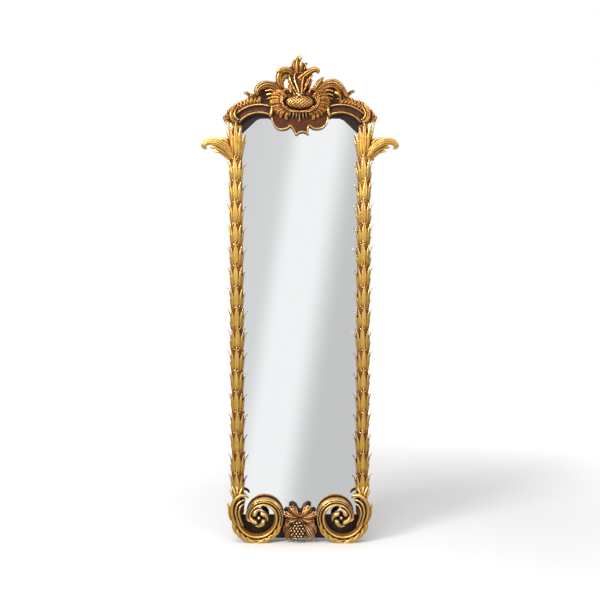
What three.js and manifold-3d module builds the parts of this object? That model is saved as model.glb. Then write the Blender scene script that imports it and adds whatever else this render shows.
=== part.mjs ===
// Carved giltwood pier mirror: palm-trunk stiles with a frond spray, a rocaille crest, two volutes and
// a vine-leaf boss around a tall silvered plate. The drawing frame is in millimetres: x across, y up from
// the foot, z out from the wall. The last lines turn it so that z is up, y runs into the wall and the
// origin is where the mirror hangs.

import * as THREE from "three";
import { mergeVertices } from "three/addons/utils/BufferGeometryUtils.js";
import Module from "manifold-3d";

const wasm = await Module();
wasm.setup();

// Driving dimensions
const HANG_HEIGHT = 1532; // from the foot to the hanging point on the crest's back
const STILE_X = 223; // centreline of each palm trunk
const FOOT_JOINT = 186; // a stile stands on its volute here
const HEAD_JOINT = 1480; // the crest sits on the stiles here
const GAP = 0.3; // between pieces that meet

const GLASS = { halfWidth: 210, foot: 92, head: 1515, thick: 4, clip: 56 };
const BOARD_THICK = 6;
const REBATE_DEPTH = BOARD_THICK + GLASS.thick + 2 * GAP; // from the wall to the lip before the plate

const TRUNK = { radius: 20, axis: 21, stages: 16, battenDepth: 20, halfBatten: 12.5 };
const CALYX_FOOT = 1372; // the palm's top leaves start here
const CALYX_HEIGHT = 98;
const STAGE_PITCH = (CALYX_FOOT - FOOT_JOINT) / TRUNK.stages;

const RAIL = { halfWidth: 240, foot: 8, head: 94, depth: 14, corner: 66, cornerSteps: 4 };
const CREST_DEPTH = 24; // thickness of the crest's backing
const CREST_SOFFIT = 201.5; // half the width between the crest's two feet
const BRACKET_REACH = 24; // from a stile's centreline to the outer edge of the crest's end bracket
const SEAT_INNER = 21; // from a stile's centreline to the inner edge of its seat on the volute
const FAR = 2000; // beyond every piece, for blocks that cut a whole side off
const ARCH = { x: 140, y: 1431, radius: 104, from: 66, to: 141 }; // degrees, on the left side

const GILT = { color: 0xc9962f, roughness: 0.38, metalness: 0.75 };
const RED_GILT = { color: 0x8a5524, roughness: 0.42, metalness: 0.6 };
const BOLE = { color: 0x2e1a14, roughness: 0.75, metalness: 0 };
const SILVERED = { color: 0xdfe2e4, roughness: 0.03, metalness: 1 };
const PINE = { color: 0x7d6446, roughness: 0.85, metalness: 0 };

const JOIN_TOLERANCE = 0.05; // edges shorter than this are collapsed where solids join
const SLIVER = 0.01; // a triangle lower than this is a sliver
const MOST_REPAIRS = 300;

// Cross-sections as [across, out] in units of half width and thickness, anticlockwise seen along the blade
const KEELED = [[-1, -0.6], [1, -0.6], [0, 1]];
const ROLLED = [[-1, 0], [0, -0.8], [1, 0], [0.55, 0.9], [-0.55, 0.9]];
const FLUTED = [[-1, 0], [0, -0.8], [1, 0], [0.6, 1], [0, 0.35], [-0.6, 1]];
const VOLUTE_BAND = [[-1, -1], [1, -1], [1, 0.1], [0.5, 0.95], [-0.45, 0.45], [-0.75, 0.85], [-1, 0.4]];

// Solids

function solidOf(geometry) {
  const bare = geometry.clone();
  bare.deleteAttribute("normal");
  bare.deleteAttribute("uv");
  const merged = mergeVertices(bare, 1e-3);
  return new wasm.Manifold(
    new wasm.Mesh({
      numProp: 3,
      vertProperties: merged.attributes.position.array,
      triVerts: new Uint32Array(merged.index.array),
      tolerance: JOIN_TOLERANCE,
    }),
  );
}

function joined(geometries) {
  return geometries.map(solidOf).reduce((sum, next) => sum.add(next));
}

// A join can leave a triangle whose corners are almost in line. Its longest edge gives way to the other
// diagonal of the two triangles that share it, or, where that diagonal is already an edge, its shortest
// edge closes up.
function withoutSlivers(positions, corners) {
  const point = (corner) => new THREE.Vector3().fromArray(positions, corner * 3);
  const cornersOf = (_, i) => Array.from(corners.slice(3 * i, 3 * i + 3));
  let triangles = Array.from({ length: corners.length / 3 }, cornersOf);
  const edgesOf = (triangle) =>
    triangle
      .map((corner, k) => ({ ends: [corner, triangle[(k + 1) % 3]], far: triangle[(k + 2) % 3] }))
      .map((edge) => ({ ...edge, length: point(edge.ends[0]).distanceTo(point(edge.ends[1])) }))
      .sort((one, two) => one.length - two.length);
  const area = (triangle) => new THREE.Triangle(...triangle.map(point)).getArea();
  const height = (triangle) => (2 * area(triangle)) / edgesOf(triangle)[2].length;
  const shares = (triangle, a, b) => triangle.includes(a) && triangle.includes(b);
  const around = (corner) => new Set(triangles.filter((triangle) => triangle.includes(corner)).flat());
  const leftAsTheyAre = new Set();
  for (let repair = 0; repair < MOST_REPAIRS; repair++) {
    const sliver = triangles.find((triangle) => !leftAsTheyAre.has(triangle) && height(triangle) < SLIVER);
    if (!sliver) break;
    const [short, , long] = edgesOf(sliver);
    const [a, b] = long.ends;
    const twin = triangles.find((triangle) => triangle !== sliver && shares(triangle, a, b));
    const opposite = twin.find((corner) => corner !== a && corner !== b);
    const [kept, closed] = short.ends;
    const common = [...around(kept)].filter((corner) => around(closed).has(corner));
    const flipped = [[a, opposite, long.far], [opposite, b, long.far]];
    const tallEnough = flipped.every((triangle) => height(triangle) >= SLIVER);
    const flipHelps = tallEnough && !around(long.far).has(opposite);
    if (flipHelps) {
      triangles = triangles.filter((triangle) => triangle !== sliver && triangle !== twin);
      triangles.push(...flipped);
    } else if (common.length === 4) {
      triangles = triangles
        .map((triangle) => triangle.map((corner) => (corner === closed ? kept : corner)))
        .filter((triangle) => new Set(triangle).size === 3);
    } else {
      leftAsTheyAre.add(sliver);
    }
  }
  return triangles.flat();
}

// A join can shut a pocket inside the piece. Its skin encloses a negative volume and is dropped, which
// fills it.
function withoutPockets(positions, index) {
  const leader = Array.from({ length: positions.length / 3 }, (_, corner) => corner);
  const skinOf = (corner) => {
    let found = corner;
    while (leader[found] !== found) found = leader[found];
    leader[corner] = found;
    return found;
  };
  const point = (k) => new THREE.Vector3().fromArray(positions, index[k] * 3);
  const volumes = new Map();
  for (let k = 0; k < index.length; k += 3) {
    leader[skinOf(index[k + 1])] = skinOf(index[k]);
    leader[skinOf(index[k + 2])] = skinOf(index[k]);
  }
  for (let k = 0; k < index.length; k += 3) {
    const skin = skinOf(index[k]);
    volumes.set(skin, (volumes.get(skin) ?? 0) + point(k).dot(point(k + 1).cross(point(k + 2))));
  }
  return index.filter((corner) => volumes.get(skinOf(corner)) > 0);
}

function meshOf(name, solid, finish) {
  const { numProp, numVert, vertProperties, triVerts } = solid.getMesh();
  const position = new Float32Array(numVert * 3);
  for (let i = 0; i < numVert; i++) {
    position.set(vertProperties.subarray(i * numProp, i * numProp + 3), i * 3);
  }
  const geometry = new THREE.BufferGeometry();
  geometry.setAttribute("position", new THREE.BufferAttribute(position, 3));
  geometry.setIndex(withoutPockets(position, withoutSlivers(position, triVerts)));
  geometry.computeVertexNormals();
  const mesh = new THREE.Mesh(geometry, new THREE.MeshStandardMaterial(finish));
  mesh.name = name;
  return mesh;
}

// A closed skin over rings of equally many points, each end closed by a fan
function loft(rings) {
  const count = rings[0].length;
  const centre = (ring) => ring.reduce((sum, p) => sum.add(p), new THREE.Vector3()).divideScalar(count);
  const points = [...rings.flat(), centre(rings[0]), centre(rings.at(-1))];
  const [first, last] = [points.length - 2, points.length - 1];
  const index = [];
  for (let i = 0; i < count; i++) {
    const next = (i + 1) % count;
    for (let row = 0; row < rings.length - 1; row++) {
      const [a, b] = [row * count + i, row * count + next];
      index.push(a, b, b + count, a, b + count, a + count);
    }
    index.push(first, next, i, last, (rings.length - 1) * count + i, (rings.length - 1) * count + next);
  }
  const corner = (k) => points[index[k]];
  let volume = 0;
  for (let k = 0; k < index.length; k += 3) {
    volume += corner(k).dot(corner(k + 1).clone().cross(corner(k + 2)));
  }
  if (volume < 0) index.reverse();
  const geometry = new THREE.BufferGeometry().setFromPoints(points);
  return geometry.setIndex(index);
}

function between(values, t) {
  const place = t * (values.length - 1);
  const low = Math.min(Math.floor(place), values.length - 2);
  return THREE.MathUtils.lerp(values[low], values[low + 1], place - low);
}

// A carved blade: a section carried along a curve through the given points without twisting. Half widths
// and thicknesses are spread evenly from root to tip, and the blade first faces along `face`.
function blade(path, widths, thicks, section, steps, face = [0, 0, 1]) {
  const curve = new THREE.CatmullRomCurve3(path.map((p) => new THREE.Vector3(...p)));
  const normal = new THREE.Vector3(...face);
  const rings = [];
  for (let step = 0; step <= steps; step++) {
    const t = step / steps;
    const tangent = curve.getTangentAt(t);
    normal.addScaledVector(tangent, -normal.dot(tangent)).normalize();
    const side = new THREE.Vector3().crossVectors(normal, tangent);
    const centre = curve.getPointAt(t);
    rings.push(
      section.map(([across, out]) =>
        centre
          .clone()
          .addScaledVector(side, across * between(widths, t))
          .addScaledVector(normal, out * between(thicks, t)),
      ),
    );
  }
  return loft(rings);
}

function slab(outline, from, to, curveSegments = 3) {
  const drawn = () => new THREE.Shape(outline.map((p) => new THREE.Vector2(...p)));
  const shape = outline instanceof THREE.Shape ? outline : drawn();
  const settings = { depth: to - from, bevelEnabled: false, curveSegments };
  return new THREE.ExtrudeGeometry(shape, settings).translate(0, 0, from);
}

function box(left, right, foot, head, back, front) {
  return slab([[left, foot], [right, foot], [right, head], [left, head]], back, front);
}

// A block to cut with, which reaches far past the whole mirror on each side that isn't given
function cutter({ left = -FAR, right = FAR, foot = -FAR, head = FAR, back = -FAR, front = FAR }) {
  return solidOf(box(left, right, foot, head, back, front));
}

function dome(centre, radii, around = 10, rows = 6) {
  return new THREE.SphereGeometry(1, around, rows).scale(...radii).translate(...centre);
}

function mirrored(points, side) {
  return points.map(([x, ...rest]) => [side * x, ...rest]);
}

function ellipse(x, y, across, up, sides) {
  const turns = Array.from({ length: sides }, (_, i) => (2 * Math.PI * i) / sides);
  return turns.map((turn) => [x + across * Math.cos(turn), y + up * Math.sin(turn)]);
}

const polar = (x, y, radius, degrees) => [
  x + radius * Math.cos(THREE.MathUtils.degToRad(degrees)),
  y + radius * Math.sin(THREE.MathUtils.degToRad(degrees)),
];

// Plate and board

// Outline of the plate, drawn `grow` larger all round
function plateOutline(grow = 0) {
  const right = GLASS.halfWidth + grow;
  const head = GLASS.head + grow;
  const clip = GLASS.clip - grow * (2 - Math.SQRT2);
  const half = [[right, GLASS.foot - grow], [right, head - clip], [right - clip, head]];
  return [...half, ...mirrored(half, -1).reverse()];
}

function mirrorPlate() {
  const back = BOARD_THICK + GAP;
  return solidOf(slab(plateOutline(), back, back + GLASS.thick));
}

function backboard() {
  return solidOf(slab(plateOutline(), 0, BOARD_THICK));
}

// Room behind the frame's lip for the plate and its board
const rebate = solidOf(slab(plateOutline(GAP), -1, REBATE_DEPTH));

// Palm stiles

// Leaf ridges and the valleys between them round the trunk: angle from the front, how far the tip flares,
// and how far below the front leaf's tip it ends, in stages. A valley lies deeper and ends lower.
const LEAF_ANGLE = 50;
const VALLEY = { flare: 1.5, drop: 0.3 };
const LEAVES = [{ flare: 6, drop: 0 }, { flare: 13, drop: 0.15 }, { flare: 16, drop: 0.5 }];

function trunkColumns() {
  const columns = [];
  for (let half = -4; half <= 4; half++) {
    const leaf = LEAVES[Math.floor(Math.abs(half) / 2)];
    const ridge = half % 2 === 0;
    columns.push({
      angle: THREE.MathUtils.degToRad((half * LEAF_ANGLE) / 2),
      flare: ridge ? leaf.flare : VALLEY.flare,
      drop: leaf.drop + (ridge ? 0 : VALLEY.drop),
    });
  }
  return columns;
}

// One stage of leaf sheaths: from behind the tips below, up the blades, to their own tips
function sheathRings(foot, pitch, radius, spread) {
  const ring = (share, swell) =>
    trunkColumns().map(({ angle, flare, drop }) => {
      const r = radius + swell * flare * spread;
      const y = foot + pitch * (share - drop);
      return new THREE.Vector3(r * Math.sin(angle), y, TRUNK.axis + r * Math.cos(angle));
    });
  return [ring(0.04, 0), ring(0.78, 0.25), ring(1.1, 1)];
}

function palmTrunk() {
  const rings = [];
  for (let stage = -1; stage < TRUNK.stages; stage++) {
    rings.push(...sheathRings(FOOT_JOINT + stage * STAGE_PITCH, STAGE_PITCH, TRUNK.radius, 1));
  }
  rings.push(...sheathRings(CALYX_FOOT, CALYX_HEIGHT, TRUNK.radius - 2, 0.75));
  return loft(rings).translate(-STILE_X, 0, 0);
}

// The spray that leaves the trunk outwards below the crest, and the calyx's long tips, for the left side
const SPRAY = [
  {
    path: [
      [-232, 1366, 34], [-258, 1402, 42], [-290, 1419, 44],
      [-318, 1420, 42], [-333, 1406, 38], [-322, 1398, 34],
    ],
    widths: [7, 11, 13, 12, 10, 6],
    thicks: [7, 8, 8, 7, 6, 4],
    section: FLUTED,
    steps: 6,
  },
  {
    path: [[-230, 1376, 28], [-250, 1412, 34], [-270, 1426, 34], [-292, 1430, 30]],
    widths: [6, 7, 7, 3],
    thicks: [6, 6, 5, 3],
    section: KEELED,
    steps: 3,
  },
  {
    path: [[-234, 1358, 28], [-262, 1380, 30], [-285, 1388, 28], [-304, 1385, 24]],
    widths: [6, 9, 9, 3],
    thicks: [6, 6, 5, 3],
    section: KEELED,
    steps: 3,
  },
  {
    path: [[-232, 1380, 24], [-242, 1430, 28], [-250, 1468, 30], [-260, 1488, 32]],
    widths: [6, 6, 5, 2],
    thicks: [6, 6, 5, 3],
    section: KEELED,
    steps: 3,
  },
];

function palmStile(side) {
  const crown = SPRAY.map(({ path, widths, thicks, section, steps }) =>
    blade(path, widths, thicks, section, steps),
  );
  const batten = box(
    -STILE_X - TRUNK.halfBatten,
    -STILE_X + TRUNK.halfBatten,
    RAIL.head + GAP,
    HEAD_JOINT,
    0,
    TRUNK.battenDepth,
  );
  const left = joined([palmTrunk(), batten, ...crown])
    .subtract(cutter({ left: -STILE_X - BRACKET_REACH, foot: HEAD_JOINT }))
    .subtract(cutter({ head: FOOT_JOINT, back: RAIL.depth }))
    .subtract(cutter({ head: RAIL.head + GAP }))
    .subtract(rebate);
  return side < 0 ? left : left.mirror([1, 0, 0]);
}

// Volutes

// A scroll drawn by quarter turns, anticlockwise from its left: each quarter has its own radius and starts
// where the last one ends
function whorl(startX, startY, radii, depths) {
  const points = [];
  let [x, y] = [startX + radii[0], startY];
  radii.forEach((radius, quarter) => {
    const from = 180 + 90 * quarter;
    const drawn = radius > 20 ? 3 : 2;
    for (let step = 0; step < drawn; step++) {
      const depth = THREE.MathUtils.lerp(depths[quarter], depths[quarter + 1], step / drawn);
      points.push([...polar(x, y, radius, from + (90 * step) / drawn), depth]);
    }
    const [endX, endY] = polar(x, y, radius, from + 90);
    const next = radii[quarter + 1] ?? radius;
    [x, y] = [endX - (endX - x) * (next / radius), endY - (endY - y) * (next / radius)];
  });
  return points;
}

const SCROLL = {
  start: [-232, 92],
  radii: [78, 79, 55, 56, 34, 26],
  depths: [34, 34, 36, 36, 36, 38, 40],
  widths: [15, 16, 16, 16, 13, 8, 4],
  thicks: [18, 18, 18, 18, 17, 13, 8],
};
const ROSETTE = { x: -150, y: 94, depth: 36, petals: 4, inner: 7, outer: 25 };

// Acanthus lobes that climb the volute's outer side and curl over it, outermost first
const ACANTHUS = [
  {
    path: [
      [-222, 40, 36], [-243, 90, 46], [-242, 140, 52],
      [-222, 172, 54], [-198, 176, 50], [-188, 166, 40],
    ],
    width: 9,
  },
  { path: [[-214, 62, 44], [-230, 102, 54], [-225, 140, 56], [-200, 162, 48]], width: 7 },
  { path: [[-206, 74, 44], [-217, 106, 54], [-212, 130, 56], [-196, 147, 48]], width: 5 },
];
// Husks along the scroll's foot: angle on the scroll, and which way the tip points
const HUSKS = [{ at: 196, turn: 78 }, { at: 224, turn: 72 }, { at: 326, turn: -72 }];

function rosettePetal(number) {
  const from = 60 + (360 / ROSETTE.petals) * number;
  const { x, y, inner, outer, depth } = ROSETTE;
  const path = [
    [...polar(x, y, inner, from), depth],
    [...polar(x, y, outer * 0.75, from + 25), depth + 8],
    [...polar(x, y, outer, from + 75), depth + 6],
    [...polar(x, y, outer * 0.8, from + 115), depth],
  ];
  return blade(path, [5, 8, 7, 3], [5, 8, 7, 3], KEELED, 4);
}

function husk({ at, turn }) {
  const [scrollX, scrollY] = [SCROLL.start[0] + SCROLL.radii[0], SCROLL.start[1]];
  const root = polar(scrollX, scrollY, SCROLL.radii[0], at);
  const tip = polar(...root, 34, at + turn);
  const middle = [(root[0] + tip[0]) / 2, (root[1] + tip[1]) / 2];
  const lifted = polar(...middle, 6, at);
  return blade([[...root, 36], [...lifted, 48], [...tip, 44]], [6, 9, 2], [8, 8, 3], KEELED, 2);
}

function volute(side) {
  const centreline = whorl(...SCROLL.start, SCROLL.radii, SCROLL.depths);
  const scroll = blade(centreline, SCROLL.widths, SCROLL.thicks, VOLUTE_BAND, 24);
  const lobes = ACANTHUS.map(({ path, width }) =>
    blade(path, [width, width * 1.2, width, width * 0.8], [10, 11, 9, 6], KEELED, 4),
  );
  const petals = Array.from({ length: ROSETTE.petals }, (_, number) => rosettePetal(number));
  const bead = dome([ROSETTE.x, ROSETTE.y, ROSETTE.depth + 6], [7, 7, 9], 7, 4);
  const hub = dome([ROSETTE.x, ROSETTE.y - 5, RAIL.depth + 11], [22, 24, 19], 7, 3);
  const shank = box(-STILE_X - 15, -STILE_X + 13, 96, FOOT_JOINT - GAP, RAIL.depth + GAP, 46);
  const left = joined([scroll, shank, hub, bead, ...lobes, ...petals, ...HUSKS.map(husk)])
    .subtract(cutter({ front: RAIL.depth + GAP }))
    .subtract(cutter({ right: -STILE_X + SEAT_INNER, foot: FOOT_JOINT - GAP }))
    .subtract(cutter({ head: 0 }));
  return side < 0 ? left : left.mirror([1, 0, 0]);
}

// Vine-leaf boss

const BOSS = { x: 0, y: 94, foot: 2, lobes: 7, radius: 57, notch: 0.3 };
const CLUSTER = { y: 45, depth: 40, radii: [27, 39, 18] };
const BERRY = { radius: 8, rows: 5 };

function leafRadius(angle) {
  const lobes = Math.abs(Math.cos((BOSS.lobes * (angle - Math.PI / 2)) / 2 + Math.PI / 2));
  return BOSS.radius * (1 - BOSS.notch * (1 - lobes));
}

function vineLeaf() {
  const around = BOSS.lobes * 4;
  const ring = (share, depth) =>
    Array.from({ length: around }, (_, i) => {
      const angle = (2 * Math.PI * i) / around + Math.PI / 2;
      const r = leafRadius(angle) * share;
      const fold = 5 * share * Math.cos(BOSS.lobes * (angle - Math.PI / 2));
      return new THREE.Vector3(r * Math.cos(angle), r * 0.86 * Math.sin(angle), depth - fold);
    });
  return loft([ring(0.5, 15), ring(1, 42), ring(0.96, 52), ring(0.5, 56)]).translate(BOSS.x, BOSS.y, 0);
}

// Rows of berries, each row half a step round from the one below, over the front of an egg-shaped core
function berries() {
  const found = [];
  const [a, b, c] = CLUSTER.radii;
  for (let row = 0; row < BERRY.rows; row++) {
    const latitude = THREE.MathUtils.degToRad(-66 + (132 * row) / (BERRY.rows - 1));
    const count = Math.max(2, Math.round(4.6 * Math.cos(latitude)));
    for (let i = 0; i < count; i++) {
      const longitude = THREE.MathUtils.degToRad(-62 + (124 * (i + (row % 2) / 2)) / (count - 0.5));
      const centre = [
        BOSS.x + a * Math.cos(latitude) * Math.sin(longitude),
        CLUSTER.y + b * Math.sin(latitude),
        CLUSTER.depth + c * Math.cos(latitude) * Math.cos(longitude),
      ];
      found.push(new THREE.OctahedronGeometry(BERRY.radius, 0).rotateZ(longitude).translate(...centre));
    }
  }
  return found;
}

function boss() {
  const core = dome([BOSS.x, CLUSTER.y, CLUSTER.depth], CLUSTER.radii, 10, 7);
  const skirt = [-1, 1].map((side) =>
    blade(mirrored([[6, 74, 30], [30, 44, 32], [44, 10, 32]], side), [18, 22, 6], [10, 10, 6], FLUTED, 4),
  );
  return joined([vineLeaf(), core, ...skirt, ...berries()])
    .subtract(cutter({ front: RAIL.depth + GAP }))
    .subtract(cutter({ head: BOSS.foot }));
}

// Crest

// Outline of the crest's board, from the right end round to the left one
function backingShape() {
  const seat = HEAD_JOINT + GAP;
  const end = [[138, 1504], [152, 1498], [CREST_SOFFIT, 1452], [CREST_SOFFIT, seat], [236, seat]];
  const arc = [34, 48, 62, 76].map((angle) => polar(ARCH.x, ARCH.y, KNOBS.radius - 4, angle));
  const rightShoulder = [
    [154, 1582], [142, 1597], [126, 1610], [88, 1619],
    [80, 1630], [66, 1626], [46, 1607], [31, 1605],
  ];
  const finial = [
    [34, 1640], [44, 1656], [22, 1668], [14, 1692],
    [-4, 1699], [-18, 1690], [-28, 1674], [-68, 1661],
  ];
  const leftShoulder = [[-75, 1634], [-90, 1619], [-122, 1612], [-140, 1606], [-152, 1590], [-160, 1578]];
  const left = mirrored([...end, ...arc], -1).reverse();
  const outline = [...end, ...arc, ...rightShoulder, ...finial, ...leftShoulder, ...left];
  const shape = new THREE.Shape(outline.map((p) => new THREE.Vector2(...p)));
  const piercing = [[-44, 1606], [-42, 1640], [-51, 1640], [-55, 1626], [-53, 1608]];
  shape.holes.push(new THREE.Path(piercing.map((p) => new THREE.Vector2(...p))));
  return shape;
}

// Scalloped apron under the shell: two round lobes and a drop with two points
function apronShape() {
  const shape = new THREE.Shape();
  shape.moveTo(-104, 1530);
  shape.lineTo(-100, 1500);
  shape.quadraticCurveTo(-92, 1463, -66, 1463);
  shape.quadraticCurveTo(-46, 1463, -36, 1475);
  shape.quadraticCurveTo(-24, 1472, -14, 1444);
  shape.quadraticCurveTo(8, 1464, 30, 1446);
  shape.quadraticCurveTo(22, 1470, 36, 1476);
  shape.quadraticCurveTo(46, 1464, 62, 1465);
  shape.quadraticCurveTo(94, 1466, 100, 1500);
  shape.lineTo(104, 1530);
  return shape;
}

// Moulding of the arch: raised fillets on both sides of a sunk panel, as [out from the arc, depth]
const ARCH_PROFILE = [[-18, 12], [18, 12], [18, 36], [12, 43], [9, 34], [-9, 34], [-12, 43], [-18, 36]];
const ARCH_STEPS = 6;

function archRail(side) {
  const rings = [];
  for (let step = 0; step <= ARCH_STEPS; step++) {
    const angle = THREE.MathUtils.lerp(ARCH.from, ARCH.to, step / ARCH_STEPS);
    rings.push(
      ARCH_PROFILE.map(([out, depth]) => {
        const [x, y] = polar(-ARCH.x, ARCH.y, ARCH.radius + out, angle);
        return new THREE.Vector3(-side * x, y, depth);
      }),
    );
  }
  return loft(rings);
}

const KNOBS = { count: 7, from: 93, to: 146, radius: 131, long: 15, wide: 9.5, deep: 12, depth: 23 };

function archKnobs(side) {
  return Array.from({ length: KNOBS.count }, (_, i) => {
    const angle = THREE.MathUtils.lerp(KNOBS.from, KNOBS.to, i / (KNOBS.count - 1));
    const [x, y] = polar(-ARCH.x, ARCH.y, KNOBS.radius, angle);
    const turn = -side * THREE.MathUtils.degToRad(angle) + (side > 0 ? Math.PI : 0);
    return new THREE.SphereGeometry(1, 5, 3)
      .scale(KNOBS.long, KNOBS.wide, KNOBS.deep)
      .rotateZ(turn)
      .translate(-side * x, y, KNOBS.depth);
  });
}

// Leaves and flutes that spread from the cushion's rim, between two ellipses about its centre. Angles are
// from the side, upwards; each leaf's middle is lifted by a few degrees.
const CUSHION = { x: -1, y: 1556, depth: 46, inner: [52, 28], outer: [106, 74] };
const SHELL = { y: 1548, across: 102, up: 53, depth: 41 };
const FLUTES = { count: 6, from: 20, to: -80, lift: 5, widths: [7, 13, 7], thicks: [8, 10, 6] };

function shellFlutes(side) {
  const place = (along, angle, depth) => {
    const across = THREE.MathUtils.lerp(CUSHION.inner[0], CUSHION.outer[0], along);
    const up = THREE.MathUtils.lerp(CUSHION.inner[1], CUSHION.outer[1], along);
    const turned = THREE.MathUtils.degToRad(angle);
    return [CUSHION.x + side * across * Math.cos(turned), CUSHION.y + up * Math.sin(turned), depth];
  };
  return Array.from({ length: FLUTES.count }, (_, i) => {
    const angle = THREE.MathUtils.lerp(FLUTES.from, FLUTES.to, i / (FLUTES.count - 1));
    const path = [place(0, angle, 46), place(0.5, angle + FLUTES.lift, 47), place(1, angle, 38)];
    return blade(path, FLUTES.widths, FLUTES.thicks, KEELED, 3);
  });
}

// Carving that is the same on both sides, drawn on the left
const PAIRED_FRONDS = [
  // end bracket of the arch, turned down to the stile
  {
    path: [[-224, 1546, 30], [-237, 1520, 38], [-231, 1496, 42], [-214, 1487, 40]],
    widths: [5, 8, 7, 4],
    thicks: [10, 10, 10, 8],
  },
  // rim of the cushion
  {
    path: [[-42, 1596, 44], [-58, 1578, 46], [-59, 1550, 48], [-40, 1531, 50], [-10, 1528, 54]],
    widths: [4, 5, 5, 5, 4],
    thicks: [10, 9, 8, 8, 7],
    steps: 5,
  },
  {
    path: [[-50, 1590, 44], [-34, 1600, 46], [-18, 1588, 50], [-4, 1576, 56]],
    widths: [4, 5, 5, 4],
    thicks: [8, 8, 8, 6],
  },
];

// Carving that differs from side to side: the shoulders, the fan above the cushion and the finial
const SINGLE_FRONDS = [
  // left shoulder leaf, its lower ridge and its ball
  {
    path: [
      [-46, 1592, 34], [-84, 1612, 34], [-116, 1614, 36],
      [-140, 1606, 40], [-148, 1590, 46], [-140, 1578, 48],
    ],
    widths: [8, 12, 14, 15, 13, 6],
    thicks: [10, 12, 12, 13, 11, 8],
    section: FLUTED,
    steps: 7,
  },
  {
    path: [[-54, 1580, 34], [-90, 1592, 32], [-120, 1588, 30]],
    widths: [6, 10, 8],
    thicks: [10, 11, 8],
  },
  {
    path: [[-140, 1562, 24], [-162, 1572, 28], [-182, 1586, 32]],
    widths: [14, 12, 9],
    thicks: [9, 9, 9],
    steps: 3,
  },
  // right shoulder leaf, its lower ridge and its ball
  {
    path: [
      [48, 1592, 34], [84, 1612, 34], [112, 1612, 36],
      [132, 1600, 40], [148, 1584, 42], [158, 1574, 40],
    ],
    widths: [8, 12, 15, 14, 11, 7],
    thicks: [10, 12, 12, 12, 10, 8],
    section: FLUTED,
    steps: 7,
  },
  {
    path: [[54, 1580, 34], [88, 1592, 32], [114, 1586, 30]],
    widths: [6, 10, 8],
    thicks: [10, 11, 8],
  },
  {
    path: [[134, 1564, 24], [154, 1576, 28], [176, 1592, 32]],
    widths: [14, 12, 9],
    thicks: [9, 9, 9],
    steps: 3,
  },
  // fan of the centre, with the arm on the left and the curled leaf on the right
  {
    path: [[-4, 1578, 42], [-7, 1616, 32], [-8, 1648, 32], [-4, 1680, 34]],
    widths: [20, 32, 36, 26],
    thicks: [14, 12, 12, 10],
    section: FLUTED,
  },
  {
    path: [[-30, 1658, 30], [-58, 1662, 32], [-69, 1648, 34], [-67, 1618, 32], [-60, 1596, 32]],
    widths: [9, 10, 11, 11, 12],
    thicks: [9, 12, 12, 11, 10],
    section: ROLLED,
    steps: 6,
  },
  {
    path: [[4, 1640, 30], [26, 1660, 34], [44, 1669, 40], [56, 1662, 46]],
    widths: [10, 11, 11, 8],
    thicks: [9, 11, 11, 9],
    section: ROLLED,
  },
  {
    path: [[14, 1598, 32], [26, 1622, 32], [37, 1642, 34]],
    widths: [11, 10, 4],
    thicks: [10, 10, 5],
    steps: 3,
  },
  // flame leaf between the fan and the right shoulder
  {
    path: [[50, 1592, 30], [66, 1616, 32], [82, 1642, 34]],
    widths: [16, 15, 3],
    thicks: [10, 11, 5],
    steps: 3,
  },
  // finial of three lobes
  {
    path: [[-4, 1660, 34], [-4, 1684, 38], [-4, 1703, 42], [0, 1700, 54]],
    widths: [22, 17, 11, 6],
    thicks: [12, 12, 8, 6],
    section: FLUTED,
  },
  {
    path: [[-10, 1662, 32], [-20, 1676, 34], [-27, 1688, 36]],
    widths: [12, 10, 6],
    thicks: [10, 10, 7],
    steps: 3,
  },
  {
    path: [[6, 1664, 32], [15, 1678, 34], [23, 1689, 36]],
    widths: [12, 9, 6],
    thicks: [10, 10, 7],
    steps: 3,
  },
];

function frond({ path, widths, thicks, section = KEELED, steps = 4 }, side = -1) {
  return blade(mirrored(path, -side), widths, thicks, section, steps);
}

function crest() {
  const backing = slab(backingShape(), 0, CREST_DEPTH);
  const shell = slab(ellipse(CUSHION.x, SHELL.y, SHELL.across, SHELL.up, 14), CREST_DEPTH - 1, SHELL.depth);
  const cushion = dome([CUSHION.x, CUSHION.y, CUSHION.depth - 4], [50, 25, 22], 10, 4);
  const apron = slab(apronShape(), CREST_DEPTH - 2, 38);
  const ballPlaces = [[-182, 1588, 34], [176, 1594, 34], [56, 1664, 48]];
  const balls = ballPlaces.map((place) => dome(place, [11, 11, 11], 7, 4));
  const paired = [-1, 1].flatMap((side) => [
    archRail(side),
    ...archKnobs(side),
    ...shellFlutes(side),
    ...PAIRED_FRONDS.map((shape) => frond(shape, side)),
  ]);
  const single = SINGLE_FRONDS.map((shape) => frond(shape));
  return joined([backing, shell, cushion, apron, ...balls, ...paired, ...single])
    .subtract(cutter({ right: -CREST_SOFFIT, head: HEAD_JOINT + GAP }))
    .subtract(cutter({ left: CREST_SOFFIT, head: HEAD_JOINT + GAP }))
    .subtract(rebate);
}

// Base rail, dark and plain behind the volutes, with its lower corners rounded off inside the scrolls
function railOutline() {
  const { halfWidth, foot, head, corner, cornerSteps } = RAIL;
  const right = [];
  for (let step = 0; step <= cornerSteps; step++) {
    right.push(polar(halfWidth - corner, foot + corner, corner, -90 + (90 * step) / cornerSteps));
  }
  right.push([halfWidth, head]);
  return [...right, ...mirrored(right, -1).reverse()];
}

function baseRail() {
  return solidOf(slab(railOutline(), 0, RAIL.depth)).subtract(rebate);
}

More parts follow.
